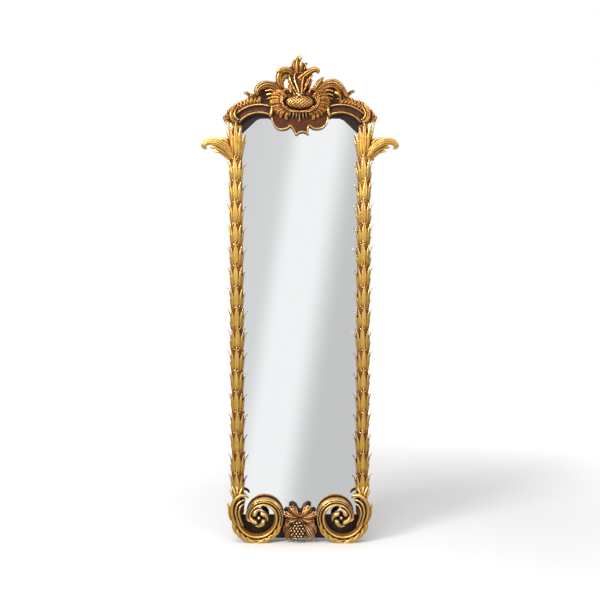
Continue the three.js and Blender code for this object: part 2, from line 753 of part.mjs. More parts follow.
const mirror = new THREE.Group();
mirror.add(
  meshOf("left_palm_stile", palmStile(-1), GILT),
  meshOf("right_palm_stile", palmStile(1), GILT),
  meshOf("crest", crest(), RED_GILT),
  meshOf("base_rail", baseRail(), BOLE),
  meshOf("left_volute", volute(-1), GILT),
  meshOf("right_volute", volute(1), GILT),
  meshOf("vine_leaf_boss", boss(), RED_GILT),
  meshOf("mirror_plate", mirrorPlate(), SILVERED),
  meshOf("backboard", backboard(), PINE),
);
mirror.rotation.x = Math.PI / 2;
mirror.position.z = -HANG_HEIGHT;

export default mirror;
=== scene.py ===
"""Carved giltwood pier mirror: palm-trunk stiles, a rocaille crest, two volutes and a vine-leaf boss.

Shapes are drawn in millimetres, x across, y up from the foot and z out from the wall, and placed() turns
them into the model's own frame, in metres with z up.
"""

import math

import bmesh
import bpy
import numpy as np
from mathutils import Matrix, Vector


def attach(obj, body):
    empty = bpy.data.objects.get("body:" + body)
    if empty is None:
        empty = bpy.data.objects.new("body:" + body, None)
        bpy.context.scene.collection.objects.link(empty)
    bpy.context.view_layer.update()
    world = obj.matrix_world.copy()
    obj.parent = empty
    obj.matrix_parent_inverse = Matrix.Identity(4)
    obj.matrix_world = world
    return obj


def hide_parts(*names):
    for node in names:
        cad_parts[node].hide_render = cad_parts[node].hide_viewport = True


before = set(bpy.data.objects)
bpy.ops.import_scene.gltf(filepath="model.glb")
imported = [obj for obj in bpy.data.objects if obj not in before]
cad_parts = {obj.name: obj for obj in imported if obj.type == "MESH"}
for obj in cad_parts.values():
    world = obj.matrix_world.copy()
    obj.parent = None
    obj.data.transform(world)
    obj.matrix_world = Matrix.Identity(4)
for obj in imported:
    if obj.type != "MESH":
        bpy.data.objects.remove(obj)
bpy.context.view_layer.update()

# Driving sizes, in millimetres
HANG_HEIGHT = 1532
STILE_X = 223
FOOT_JOINT = 186
HEAD_JOINT = 1480
GAP = 0.3
TRUNK_RADIUS = 20
TRUNK_AXIS = 21
STAGES = 16
CALYX_FOOT = 1372
STAGE_PITCH = (CALYX_FOOT - FOOT_JOINT) / STAGES
ARCH = {"x": 140, "y": 1431, "radius": 104, "from": 66, "to": 141}
CUSHION = {"x": -1, "y": 1556, "across": 50, "up": 25}
REBATE = {"half": 210.3, "foot": 91.7, "head": 1515.3, "clip": 55.8, "depth": 10.6}
RAIL_DEPTH = 14
RAIL_HEAD = 94
CREST_SOFFIT = 201.5  # half the width between the crest's two feet
STILE_INNER = 202  # from the centreline of the mirror to a stile's inner edge
MOST_TRIANGLES = {"stile": 180000, "volute": 110000, "boss": 110000, "crest": 195000}
CAMERA = {"aim": 873.4, "distance": 3.3, "pitch": 5, "lens": 56.6}

VOXEL = 1.35
RNG = np.random.default_rng(17)


# Camera, first of all: at eye level with the mirror's middle, a little above it and looking down
def photograph_camera():
    target = Vector((0, -0.045, (CAMERA["aim"] - HANG_HEIGHT) / 1000))
    pitch = math.radians(CAMERA["pitch"])
    camera = bpy.data.objects.new("camera", bpy.data.cameras.new("camera"))
    bpy.context.scene.collection.objects.link(camera)
    camera.location = target + CAMERA["distance"] * Vector((0, -math.cos(pitch), math.sin(pitch)))
    camera.rotation_euler = (target - camera.location).to_track_quat("-Z", "Y").to_euler()
    camera.data.lens = CAMERA["lens"]
    camera.data.sensor_width = 36
    bpy.context.scene.camera = camera


photograph_camera()


# Materials


def linear(code):
    """An sRGB hex colour as linear RGBA."""
    parts = [int(code[i : i + 2], 16) / 255 for i in (1, 3, 5)]
    return (*[p / 12.92 if p <= 0.04045 else ((p + 0.055) / 1.055) ** 2.4 for p in parts], 1.0)


def add(tree, kind, settings=None, **links):
    """A node of this kind. Settings are its properties; links are socket values, or outputs to connect."""
    node = tree.nodes.new(kind)
    for name, value in (settings or {}).items():
        setattr(node, name, value)
    for name, value in links.items():
        wanted = name.replace("_", " ").lower()
        sockets = [s for s in node.inputs if wanted == s.name.lower() or name.lower() == s.identifier.lower()]
        feed(tree, sockets[0], value)
    return node


def feed(tree, socket, value):
    """Gives a socket a value, or links another node's output to it."""
    if isinstance(value, bpy.types.NodeSocket):
        tree.links.new(value, socket)
    else:
        socket.default_value = value


def calculate(tree, operation, *values, clamped=False):
    node = add(tree, "ShaderNodeMath", {"operation": operation, "use_clamp": clamped})
    for socket, value in zip(node.inputs, values):
        feed(tree, socket, value)
    return node.outputs[0]


def spread(tree, value, low, high, to_low=0.0, to_high=1.0, kind="LINEAR"):
    """The value with its span from low to high laid out from to_low to to_high."""
    node = add(tree, "ShaderNodeMapRange", {"interpolation_type": kind}, Value=value)
    for name, limit in (("From Min", low), ("From Max", high), ("To Min", to_low), ("To Max", to_high)):
        node.inputs[name].default_value = limit
    return node.outputs["Result"]


def ramp(tree, value, stops, smooth=False):
    """Colours (hex) or greys (numbers) spread along a value from 0 to 1."""
    node = add(tree, "ShaderNodeValToRGB", Fac=value)
    node.color_ramp.interpolation = "EASE" if smooth else "LINEAR"
    elements = node.color_ramp.elements
    while len(elements) < len(stops):
        elements.new(0.5)
    for element, (place, colour) in zip(elements, stops):
        element.position = place
        element.color = linear(colour) if isinstance(colour, str) else (colour, colour, colour, 1)
    return node.outputs["Color"]


def new_material(name):
    material = bpy.data.materials.new(name)
    material.use_nodes = True
    tree = material.node_tree
    shader = tree.nodes["Principled BSDF"]
    place = add(tree, "ShaderNodeTexCoord").outputs["Object"]
    return material, tree, shader, place


def noise(tree, place, scale, detail, roughness):
    settings = {"Scale": scale, "Detail": detail, "Roughness": roughness}
    return add(tree, "ShaderNodeTexNoise", Vector=place, **settings).outputs["Fac"]


def water_gilding(name, colours, metal, grime, roughness):
    """Gold leaf burnished over red bole on gesso. The eye sees bright metal where hands and cloths have
    rubbed the ridges, made brighter by a painted highlight, thinner orange leaf on the flanks, and brown bole
    and dirt in the cuts, made darker by painted shade, all read from the relief attribute."""
    material, tree, shader, place = new_material(name)
    relief = add(tree, "ShaderNodeAttribute", {"attribute_name": "relief"}).outputs["Fac"]
    # patches of wear a hand's width across, and brush marks of a couple of millimetres
    patches = noise(tree, place, 38.0, 4.0, 0.6)
    speckle = noise(tree, place, 420.0, 3.0, 0.65)
    # the relief carries painted highlight on the ridges and painted shade in the cuts; the noise adds wear
    # patches and speckle
    shifted = calculate(tree, "MULTIPLY_ADD", patches, 0.34, relief)
    worn_and_shaded = calculate(tree, "MULTIPLY_ADD", speckle, 0.26, shifted)
    level = calculate(tree, "SUBTRACT", worn_and_shaded, 0.30, clamped=True)
    tree.links.new(ramp(tree, level, colours), shader.inputs["Base Color"])
    tree.links.new(ramp(tree, level, metal), shader.inputs["Metallic"])
    tree.links.new(ramp(tree, level, roughness), shader.inputs["Roughness"])
    # gesso and leaf laps under half a millimetre high, drawn a little coarse so that they show
    bump = add(tree, "ShaderNodeBump", Strength=grime, Distance=0.0006, Height=speckle)
    tree.links.new(bump.outputs["Normal"], shader.inputs["Normal"])
    return material


def silvered_glass():
    """Float glass silvered behind. The eye sees a flat, slightly cool mirror."""
    material, _, shader, _ = new_material("silvered_glass")
    shader.inputs["Base Color"].default_value = linear("#EEF0F1")
    shader.inputs["Metallic"].default_value = 1.0
    shader.inputs["Roughness"].default_value = 0.015
    return material


def stained_wood(name, dark, light, ring_mm, roughness):
    """Sawn softwood. The eye sees long grain stretched along the board, with a matt surface."""
    material, tree, shader, place = new_material(name)
    grain_scale = 1000 / ring_mm
    stretched = add(tree, "ShaderNodeMapping", Vector=place, Scale=(0.06, 1.0, 1.0)).outputs["Vector"]
    grain = add(tree, "ShaderNodeTexNoise", Vector=stretched, Scale=grain_scale, Detail=5.0).outputs["Fac"]
    tree.links.new(ramp(tree, grain, [(0.3, dark), (0.7, light)]), shader.inputs["Base Color"])
    shader.inputs["Roughness"].default_value = roughness
    bump = add(tree, "ShaderNodeBump", Strength=0.35, Distance=0.0005, Height=grain)
    tree.links.new(bump.outputs["Normal"], shader.inputs["Normal"])
    return material


# In each gilding ramp the darkest stops are painted shade in the cuts and the palest are painted highlight on
# the ridges
GILDING = water_gilding(
    "water_gilding_yellow",
    [
        (0.0, "#260F05"), (0.2, "#552808"), (0.37, "#A05E1C"),
        (0.54, "#D89E40"), (0.78, "#F2CC74"), (0.95, "#FCE8B2"),
    ],
    [(0.1, 0.1), (0.4, 0.75), (0.8, 0.95)],
    0.22,
    [(0.0, 0.7), (0.5, 0.46), (0.9, 0.3)],
)
RED_GILDING = water_gilding(
    "water_gilding_over_red_bole",
    [
        (0.0, "#1A0A03"), (0.2, "#401A08"), (0.42, "#763C12"),
        (0.6, "#A66C2A"), (0.79, "#D9AC5C"), (0.96, "#FBE6B4"),
    ],
    [(0.1, 0.2), (0.35, 0.65), (0.75, 0.95)],
    0.25,
    [(0.0, 0.6), (0.5, 0.42), (0.9, 0.28)],
)
BRONZED_GILDING = water_gilding(
    "bronzed_gilding",
    [
        (0.0, "#150804"), (0.25, "#3A1A0A"), (0.45, "#74401A"),
        (0.62, "#AE7434"), (0.8, "#E0AA6C"), (0.95, "#FFE3C0"),
    ],
    [(0.1, 0.1), (0.45, 0.65), (0.8, 0.95)],
    0.22,
    [(0.0, 0.6), (0.5, 0.4), (0.9, 0.22)],
)
SILVERED_GLASS = silvered_glass()
# the rail's near-black is partly its dark wood and partly painted shade under the carvings in front of it
DARK_RAIL = stained_wood("dark_softwood_and_painted_shade", "#170C0A", "#33201A", 4, 0.72)
BACKBOARD_PINE = stained_wood("sawn_pine", "#6E5538", "#9B8058", 5, 0.88)


# Shapes: each part is (points in drawing millimetres, triangles)


def polar(x, y, radius, degrees):
    turn = math.radians(degrees)
    return x + radius * math.cos(turn), y + radius * math.sin(turn)


def lerp(a, b, share):
    return a + (b - a) * share


def facing_out(points, triangles):
    a, b, c = (points[triangles[:, k]] for k in range(3))
    if np.einsum("ij,ij->i", a, np.cross(b, c)).sum() < 0:
        triangles = triangles[:, ::-1]
    return points, triangles


def loft(rings):
    """A closed skin over rings of equally many points, closed at both ends by fans."""
    rings = np.asarray(rings, float)
    rows, count, _ = rings.shape
    points = np.vstack([rings.reshape(-1, 3), rings[0].mean(0), rings[-1].mean(0)])
    here = np.arange(count)
    after = (here + 1) % count
    sides = []
    for row in range(rows - 1):
        a, b = row * count + here, row * count + after
        sides += [np.column_stack([a, b, b + count]), np.column_stack([a, b + count, a + count])]
    first, last = np.full(count, rows * count), np.full(count, rows * count + 1)
    top = (rows - 1) * count
    sides += [np.column_stack([first, after, here]), np.column_stack([last, top + here, top + after])]
    return facing_out(points, np.vstack(sides))


def curve_through(points, count):
    """Centripetal Catmull-Rom through the points, resampled evenly along its length."""
    p = np.asarray(points, float)
    p = np.vstack([2 * p[0] - p[1], p, 2 * p[-1] - p[-2]])
    dense = []
    for k in range(1, len(p) - 2):
        strides = np.linalg.norm(np.diff(p[k - 1 : k + 3], axis=0), axis=1)
        knots = np.concatenate([[0], np.cumsum(np.sqrt(strides))])
        t = np.linspace(knots[1], knots[2], 16, endpoint=False)[:, None]

        def mix(a, b, low, high):
            return (high - t) / (high - low) * a + (t - low) / (high - low) * b

        a1, a2, a3 = (mix(p[k - 1 + j], p[k + j], knots[j], knots[j + 1]) for j in range(3))
        b1, b2 = mix(a1, a2, knots[0], knots[2]), mix(a2, a3, knots[1], knots[3])
        dense.append(mix(b1, b2, knots[1], knots[2]))
    dense = np.vstack([*dense, p[-2]])
    run = np.concatenate([[0], np.cumsum(np.linalg.norm(np.diff(dense, axis=0), axis=1))])
    even = np.linspace(0, run[-1], count)
    return np.column_stack([np.interp(even, run, dense[:, k]) for k in range(3)])


def swell(values, share):
    """Values spread evenly from 0 to 1, joined by a smooth curve."""
    v = np.asarray(values, float)
    if len(v) == 1:
        return np.full_like(share, v[0])
    place = np.clip(np.asarray(share) * (len(v) - 1), 0, len(v) - 1 - 1e-9)
    low = place.astype(int)
    f = place - low
    v = np.concatenate([[2 * v[0] - v[1]], v, [2 * v[-1] - v[-2]]])
    a, b, c, d = v[low], v[low + 1], v[low + 2], v[low + 3]
    square, cube = 2 * a - 5 * b + 4 * c - d, 3 * b - a - 3 * c + d
    return 0.5 * (2 * b + (c - a) * f + square * f**2 + cube * f**3)


ACROSS = np.linspace(-1, 1, 25)


def closed_below(top):
    under = -0.7 * (1 - ACROSS[::-1] ** 2) ** 0.5
    return np.vstack([np.column_stack([ACROSS, top]), np.column_stack([ACROSS[::-1], under])[1:-1]])


def ribbed(ribs, depth=0.5, swollen=0.5):
    """A leaf's cross-section: a low dome cut by grooves into this many ribs."""
    dome = (1 - ACROSS**2) ** swollen
    lobes = np.abs(np.sin(math.pi * ribs * (ACROSS + 1) / 2)) ** 0.55
    return closed_below(dome * (1 - depth * (1 - lobes)))


def hollowed(rim, sunk):
    """A section with raised rims and a sunk field."""
    edge = np.exp(-(((np.abs(ACROSS) - 1 + rim) / (0.6 * rim)) ** 2))
    return closed_below(np.clip(1 - np.abs(ACROSS) ** 8, 0, 1) * (1 - sunk + sunk * edge))


ROUND = ribbed(1, 0.0)
SOFT_LEAF = ribbed(2, 0.22, 0.55)
COMMA = hollowed(0.34, 0.25)
SUNK_FIELD = hollowed(0.1, 0.35)
KEEL = ribbed(2, 0.35, 0.6)
THREE_RIBS = ribbed(3, 0.55)
FOUR_RIBS = ribbed(4, 0.55)


def blade(path, widths, thicks, section=KEEL, steps=36, face=(0, 0, 1), blunt=0.06):
    """A carved leaf or scroll: a section carried along a curve without twisting, rounded off at its tip."""
    line = curve_through(path, steps + 1)
    share = np.linspace(0, 1, steps + 1)
    close = np.ones(steps + 1)
    if blunt:
        close = np.sqrt(np.clip(1 - np.clip((share - 1 + blunt) / blunt, 0, 1) ** 2, 0.02, 1))
    wide, thick = swell(widths, share) * close, swell(thicks, share) * close
    tangents = np.gradient(line, axis=0)
    tangents /= np.linalg.norm(tangents, axis=1)[:, None]
    normal = np.asarray(face, float)
    rings = []
    for k in range(steps + 1):
        normal = normal - tangents[k] * normal.dot(tangents[k])
        normal /= np.linalg.norm(normal)
        side = np.cross(normal, tangents[k])
        rings.append(line[k] + section[:, :1] * wide[k] * side + section[:, 1:] * thick[k] * normal)
    return loft(rings)


def slab(outline, back, front):
    """An outline extruded from the back to the front."""
    mesh = bmesh.new()
    ring = [mesh.verts.new((x, y, back)) for x, y in outline]
    base = mesh.faces.new(ring)
    made = bmesh.ops.extrude_face_region(mesh, geom=[base])
    lifted = [item for item in made["geom"] if isinstance(item, bmesh.types.BMVert)]
    bmesh.ops.translate(mesh, verts=lifted, vec=(0, 0, front - back))
    bmesh.ops.triangulate(mesh, faces=mesh.faces[:])
    mesh.verts.index_update()
    points = np.array([v.co[:] for v in mesh.verts])
    triangles = np.array([[v.index for v in f.verts] for f in mesh.faces])
    mesh.free()
    return facing_out(points, triangles)


def box(left, right, foot, head, back, front):
    return slab([(left, foot), (right, foot), (right, head), (left, head)], back, front)


def ball(centre, radii, rows=14, around=20):
    """An egg shape."""
    turn = np.linspace(0, 2 * math.pi, around, endpoint=False)
    rings = []
    for k in range(1, rows):
        tilt = math.pi * k / rows
        out = math.sin(tilt)
        ring = [out * np.cos(turn), out * np.sin(turn), np.full(around, math.cos(tilt))]
        rings.append(np.column_stack(ring) * radii + centre)
    return loft(rings)


def mirrored(part, side):
    """The part as drawn on the left where side is -1, or turned over to the right where it is 1."""
    points, triangles = part
    return (points * [-side, 1, 1], triangles[:, ::-1]) if side > 0 else part


def flipped(path, side):
    return [(-side * x, *rest) for x, *rest in path]


def gathered(parts):
    points, triangles, start = [], [], 0
    for p, t in parts:
        points.append(p)
        triangles.append(t + start)
        start += len(p)
    return np.vstack(points), np.vstack(triangles)


def placed(points):
    """Drawing millimetres as metres in the model's frame."""
    return np.column_stack([points[:, 0], -points[:, 2], points[:, 1] - HANG_HEIGHT]) * 0.001


def raw_object(name, parts):
    points, triangles = gathered(parts)
    mesh = bpy.data.meshes.new(name)
    mesh.from_pydata(placed(points).tolist(), [], triangles.tolist())
    piece = bpy.data.objects.new(name, mesh)
    bpy.context.scene.collection.objects.link(piece)
    return piece


def settle(piece):
    """Bakes the piece's modifiers into its mesh and takes them off."""
    graph = bpy.context.evaluated_depsgraph_get()
    mesh = bpy.data.meshes.new_from_object(piece.evaluated_get(graph))
    piece.modifiers.clear()
    piece.data = mesh
    return piece


def carved(name, parts, most_triangles, cuts=()):
    """Fuses the parts into one carving: a voxel skin, softened and thinned, then cut."""
    piece = raw_object(name, parts)
    fuse = piece.modifiers.new("fuse", "REMESH")
    fuse.mode = "VOXEL"
    fuse.voxel_size = VOXEL / 1000
    soften = piece.modifiers.new("soften", "SMOOTH")
    soften.factor = 0.5
    soften.iterations = 2
    settle(piece)
    made = sum(len(p.vertices) - 2 for p in piece.data.polygons)
    thin = piece.modifiers.new("thin", "DECIMATE")
    thin.ratio = min(1.0, most_triangles / made)
    thin.use_collapse_triangulate = True
    tools = []
    for number, cut in enumerate(cuts):
        tool = raw_object(f"{name}_cut_{number}", [cut])
        take = piece.modifiers.new("cut", "BOOLEAN")
        take.operation = "DIFFERENCE"
        take.solver = "MANIFOLD"
        take.object = tool
        tools.append(tool)
    settle(piece)
    for tool in tools:
        bpy.data.objects.remove(tool)
    mesh = bmesh.new()
    mesh.from_mesh(piece.data)
    bmesh.ops.triangulate(mesh, faces=mesh.faces[:])
    mesh.to_mesh(piece.data)
    mesh.free()
    piece.data.shade_smooth()
    return piece


def note_relief(piece, gilt_shade_and_highlight=None, fine=0.55, broad=0.10, sunk=0.028):
    """Writes the relief attribute that the gilding turns into colour: high on ridges and rims, a painted
    highlight, and low in cuts and behind what stands proud, a painted shade.
    """
    mesh = piece.data
    count = len(mesh.vertices)
    points = np.empty(count * 3)
    mesh.vertices.foreach_get("co", points)
    points = points.reshape(-1, 3) * 1000
    normals = np.empty(count * 3)
    mesh.vertex_normals.foreach_get("vector", normals)
    normals = normals.reshape(-1, 3)
    edges = np.empty(len(mesh.edges) * 2, int)
    mesh.edges.foreach_get("vertices", edges)
    edges = edges.reshape(-1, 2)
    degree = np.maximum(np.bincount(edges.ravel(), minlength=count), 1)[:, None]

    def blurred(values, rounds):
        for _ in range(rounds):
            total = np.zeros_like(values)
            for k in range(values.shape[1]):
                total[:, k] = np.bincount(edges[:, 0], values[edges[:, 1], k], count)
                total[:, k] += np.bincount(edges[:, 1], values[edges[:, 0], k], count)
            values = 0.5 * values + 0.5 * total / degree
        return values

    ridge = np.einsum("ij,ij->i", normals, points - blurred(points, 5))
    swelling = np.einsum("ij,ij->i", normals, points - blurred(points, 45))
    # how far the wood lies behind the foremost wood within a centimetre or so, for the painted shade behind
    # what stands proud
    cell = 3.0
    across = ((points[:, 0] - points[:, 0].min()) / cell).astype(int) + 4
    up = ((points[:, 2] - points[:, 2].min()) / cell).astype(int) + 4
    front = np.full((across.max() + 5, up.max() + 5), -1.0)
    np.maximum.at(front, (across, up), -points[:, 1])
    near = np.stack([np.roll(front, (i, j), (0, 1)) for i in range(-3, 4) for j in range(-3, 4)])
    behind = np.mean(np.maximum(near, 0), axis=0)[across, up] + points[:, 1]
    # ridges and swellings lifted as a painted highlight, cuts lowered as a painted shade
    relief = 0.5 + np.clip(fine * ridge, -0.4, 0.4) + np.clip(broad * swelling, -0.25, 0.25)
    # painted shade: lower still where the wood lies behind its neighbours
    relief -= sunk * np.clip(behind, 0, 20)
    # the sides that turn to the wall are made darker
    relief -= 0.55 * np.clip((normals[:, 1] - 0.02) / 0.4, 0, 1)
    if gilt_shade_and_highlight is not None:
        drawn = np.column_stack([points[:, 0], points[:, 2] + HANG_HEIGHT, -points[:, 1]])
        relief = relief + gilt_shade_and_highlight(*drawn.T, normals)
    relief = blurred(np.clip(relief, 0, 1)[:, None], 1)[:, 0]
    attribute = mesh.attributes.new("relief", "FLOAT", "POINT")
    attribute.data.foreach_set("value", relief)


def finished(piece, material, node):
    piece.data.materials.clear()
    piece.data.materials.append(material)
    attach(piece, "root")
    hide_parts(node)


# Repeats, by geometry nodes


REPEAT_INPUTS = {
    "Motif": "Geometry",
    "Path": "Object",
    "Count": "Int",
    "Least size": "Float",
    "Most size": "Float",
    "Wobble": "Float",
    "Seed": "Int",
    "Material": "Material",
}


def repeat_tree():
    """A motif set at even steps along a path, each one turned and sized a little by its own draw."""
    tree = bpy.data.node_groups.new("repeat_along_path", "GeometryNodeTree")
    for name, kind in REPEAT_INPUTS.items():
        tree.interface.new_socket(name, in_out="INPUT", socket_type="NodeSocket" + kind)
    tree.interface.new_socket("Geometry", in_out="OUTPUT", socket_type="NodeSocketGeometry")
    given = tree.nodes.new("NodeGroupInput").outputs
    result = tree.nodes.new("NodeGroupOutput")
    path = add(tree, "GeometryNodeObjectInfo", {"transform_space": "ORIGINAL"}, Object=given["Path"])
    sockets = {"Curve": path.outputs["Geometry"], "Count": given["Count"]}
    points = add(tree, "GeometryNodeCurveToPoints", {"mode": "COUNT"}, **sockets)
    size = add(tree, "FunctionNodeRandomValue", {"data_type": "FLOAT"})
    tree.links.new(given["Least size"], size.inputs[2])
    tree.links.new(given["Most size"], size.inputs[3])
    tree.links.new(given["Seed"], size.inputs["Seed"])
    sway = add(tree, "FunctionNodeRandomValue", {"data_type": "FLOAT"})
    tree.links.new(calculate(tree, "MULTIPLY", given["Wobble"], -1.0), sway.inputs[2])
    tree.links.new(given["Wobble"], sway.inputs[3])
    tree.links.new(given["Seed"], sway.inputs["Seed"])
    lean = calculate(tree, "MULTIPLY", sway.outputs[1], 0.2)
    turn = add(tree, "ShaderNodeCombineXYZ", X=lean, Y=lean, Z=sway.outputs[1])
    swayed = add(tree, "FunctionNodeEulerToRotation", Euler=turn.outputs[0])
    copies = add(
        tree,
        "GeometryNodeInstanceOnPoints",
        Points=points.outputs["Points"],
        Instance=given["Motif"],
        Rotation=swayed.outputs[0],
    )
    tree.links.new(size.outputs[1], copies.inputs["Scale"])
    real = add(tree, "GeometryNodeRealizeInstances", Geometry=copies.outputs["Instances"])
    sockets = {"Geometry": real.outputs["Geometry"], "Material": given["Material"]}
    dressed = add(tree, "GeometryNodeSetMaterial", **sockets)
    tree.links.new(dressed.outputs["Geometry"], result.inputs["Geometry"])
    return tree


REPEAT = repeat_tree()


def path_object(points_mm):
    """A poly curve through points given in drawing millimetres, for the repeat tree."""
    curve = bpy.data.curves.new("path", "CURVE")
    curve.dimensions = "3D"
    spline = curve.splines.new("POLY")
    spots = placed(np.asarray(points_mm, float))
    spline.points.add(len(spots) - 1)
    for point, spot in zip(spline.points, spots):
        point.co = (*spot, 1)
    path = bpy.data.objects.new("path", curve)
    bpy.context.scene.collection.objects.link(path)
    return path


def repeated(motif_parts, path_mm, count, sizes, wobble, seed):
    """The motif's copies along the path, as one part in drawing millimetres. It is drawn about the origin."""
    points, triangles = gathered(motif_parts)
    mesh = bpy.data.meshes.new("motif")
    frame_points = np.column_stack([points[:, 0], -points[:, 2], points[:, 1]]) * 0.001
    mesh.from_pydata(frame_points.tolist(), [], triangles.tolist())
    holder = bpy.data.objects.new("motif", mesh)
    bpy.context.scene.collection.objects.link(holder)
    path = path_object(path_mm)
    nodes = holder.modifiers.new("repeat", "NODES")
    nodes.node_group = REPEAT
    values = {
        "Path": path,
        "Count": count,
        "Least size": sizes[0],
        "Most size": sizes[1],
        "Wobble": wobble,
        "Seed": seed,
        "Material": GILDING,
    }
    for item in REPEAT.interface.items_tree:
        if item.name in values:
            nodes[item.identifier] = values[item.name]
    settle(holder)
    done = holder.data
    spots = np.empty(len(done.vertices) * 3)
    done.vertices.foreach_get("co", spots)
    spots = spots.reshape(-1, 3) * 1000
    corners = np.array([p.vertices[:] for p in done.polygons])
    bpy.data.objects.remove(holder)
    bpy.data.objects.remove(path)
    drawn = np.column_stack([spots[:, 0], spots[:, 2] + HANG_HEIGHT, -spots[:, 1]])
    return facing_out(drawn, corners)


# Palm stiles


# One leaf of a palm stage: its place round the trunk in degrees and how far it leans, then heights above the
# stage's foot, reach out from the trunk's face, half widths and half thicknesses from root to tip
STAGE_LEAVES = [
    (0, 0, [-9, 10, 32, 54, 70, 79], [-5, -1.2, 0.8, 2.2, 4.2, 6], [6, 9.3, 10, 8.6, 4.6, 1.4],
     [4, 4.6, 4.8, 4.4, 3.4, 2.2]),
    (-43, -9, [-9, 8, 28, 46, 58, 65], [-5, -1.6, 0.6, 2.6, 5, 9], [5, 7, 7.4, 6, 3.6, 1.3],
     [4, 4.2, 4.2, 3.6, 3, 2]),
    (43, 9, [-9, 8, 26, 43, 55, 61], [-5, -1.6, 0.6, 2.6, 5, 9], [5, 7, 7.4, 6, 3.6, 1.3],
     [4, 4.2, 4.2, 3.6, 3, 2]),
    (-88, -4, [-12, 4, 24, 42, 53, 60, 63], [-6, -2, 1, 4, 8, 13, 18], [5, 7.5, 8, 6.5, 4.5, 3, 1.4],
     [4, 4, 3.6, 3, 2.6, 2.3, 1.8]),
    (88, 4, [-20, -4, 14, 30, 41, 48, 51], [-6, -2, 1, 4, 8, 13, 18], [5, 7.5, 8, 6.5, 4.5, 3, 1.4],
     [4, 4, 3.6, 3, 2.6, 2.3, 1.8]),
    (-112, 0, [-30, -14, 2, 14, 20], [-5, -1, 3, 7, 11], [4, 6, 5, 3, 1.3], [3, 3, 2.6, 2.2, 1.8]),
    (112, 0, [-6, 8, 24, 36, 42], [-5, -1, 3, 7, 11], [4, 6, 5, 3, 1.3], [3, 3, 2.6, 2.2, 1.8]),
]
STAGE_BEADS = [(-17, 67, 1.6, 2.7), (18, 65, 1.8, 2.6), (27, 71, 1.2, 2.3)]

CALYX_LEAVES = [
    (3, 1, 119, 9, 8), (33, 4, 104, 9, 7.5), (-29, -17, 121, 14, 7.5), (-60, -24, 120, 15, 7),
    (58, 20, 82, 11, 7.5), (88, 10, 62, 14, 7), (-92, -8, 58, 15, 7),
]


def trunk_leaf(angle, lean, heights, reaches, widths, thicks):
    """A leaf that hugs the trunk at its root and leaves it at its tip, drawn about the trunk's axis."""
    share = np.linspace(0, 1, len(heights))
    turns = np.radians(angle + lean * share)
    out = np.column_stack([np.sin(turns), np.zeros(len(share)), np.cos(turns)])
    path = out * (TRUNK_RADIUS + np.asarray(reaches, float))[:, None] + np.outer(heights, [0, 1, 0])
    facing = (math.sin(math.radians(angle)), 0, math.cos(math.radians(angle)))
    return blade(path, widths, thicks, SOFT_LEAF, 30, facing)


def palm_stage():
    leaves = [trunk_leaf(*leaf) for leaf in STAGE_LEAVES]
    for angle, height, proud, radius in STAGE_BEADS:
        across, deep = polar(0, 0, TRUNK_RADIUS + proud, 90 - angle)
        leaves.append(ball((across, height, deep), (radius,) * 3, 7, 10))
    return leaves


SPRAY = [
    ([(-230, 1362, 30), (-254, 1400, 40), (-288, 1420, 44), (-318, 1421, 42), (-334, 1407, 38),
      (-322, 1396, 34)],
     [7, 12, 14, 13, 11, 5], [8, 9, 9, 8, 7, 4], FOUR_RIBS),
    ([(-229, 1368, 28), (-246, 1404, 33), (-266, 1428, 35), (-288, 1435, 31)], [6, 9, 9, 3],
     [7, 7, 6, 3], KEEL),
    ([(-227, 1372, 27), (-238, 1402, 30), (-250, 1424, 30), (-264, 1436, 27)], [5, 7, 6, 2],
     [6, 6, 5, 3], KEEL),
    ([(-230, 1357, 27), (-254, 1388, 34), (-282, 1404, 36), (-312, 1402, 30)], [7, 12, 12, 4],
     [7, 7, 6, 3], THREE_RIBS),
    ([(-230, 1350, 24), (-252, 1374, 29), (-275, 1389, 30), (-300, 1390, 25)], [6, 10, 9, 3],
     [6, 6, 5, 3], KEEL),
]


def calyx_leaf(angle, lean, tall, flare, wide):
    heights = [-8, 0.22 * tall, 0.5 * tall, 0.76 * tall, 0.92 * tall, tall]
    reaches = [-6, -0.5, 2.5, 3 + 0.35 * flare, 3 + 0.7 * flare, flare + 3]
    widths = [0.45 * wide, 0.7 * wide, 0.95 * wide, wide, 0.72 * wide, 0.25 * wide]
    points, triangles = trunk_leaf(angle, lean, heights, reaches, widths, [4, 5, 5, 4.6, 3.8, 2.4])
    return points + [-STILE_X, CALYX_FOOT - 4, TRUNK_AXIS], triangles


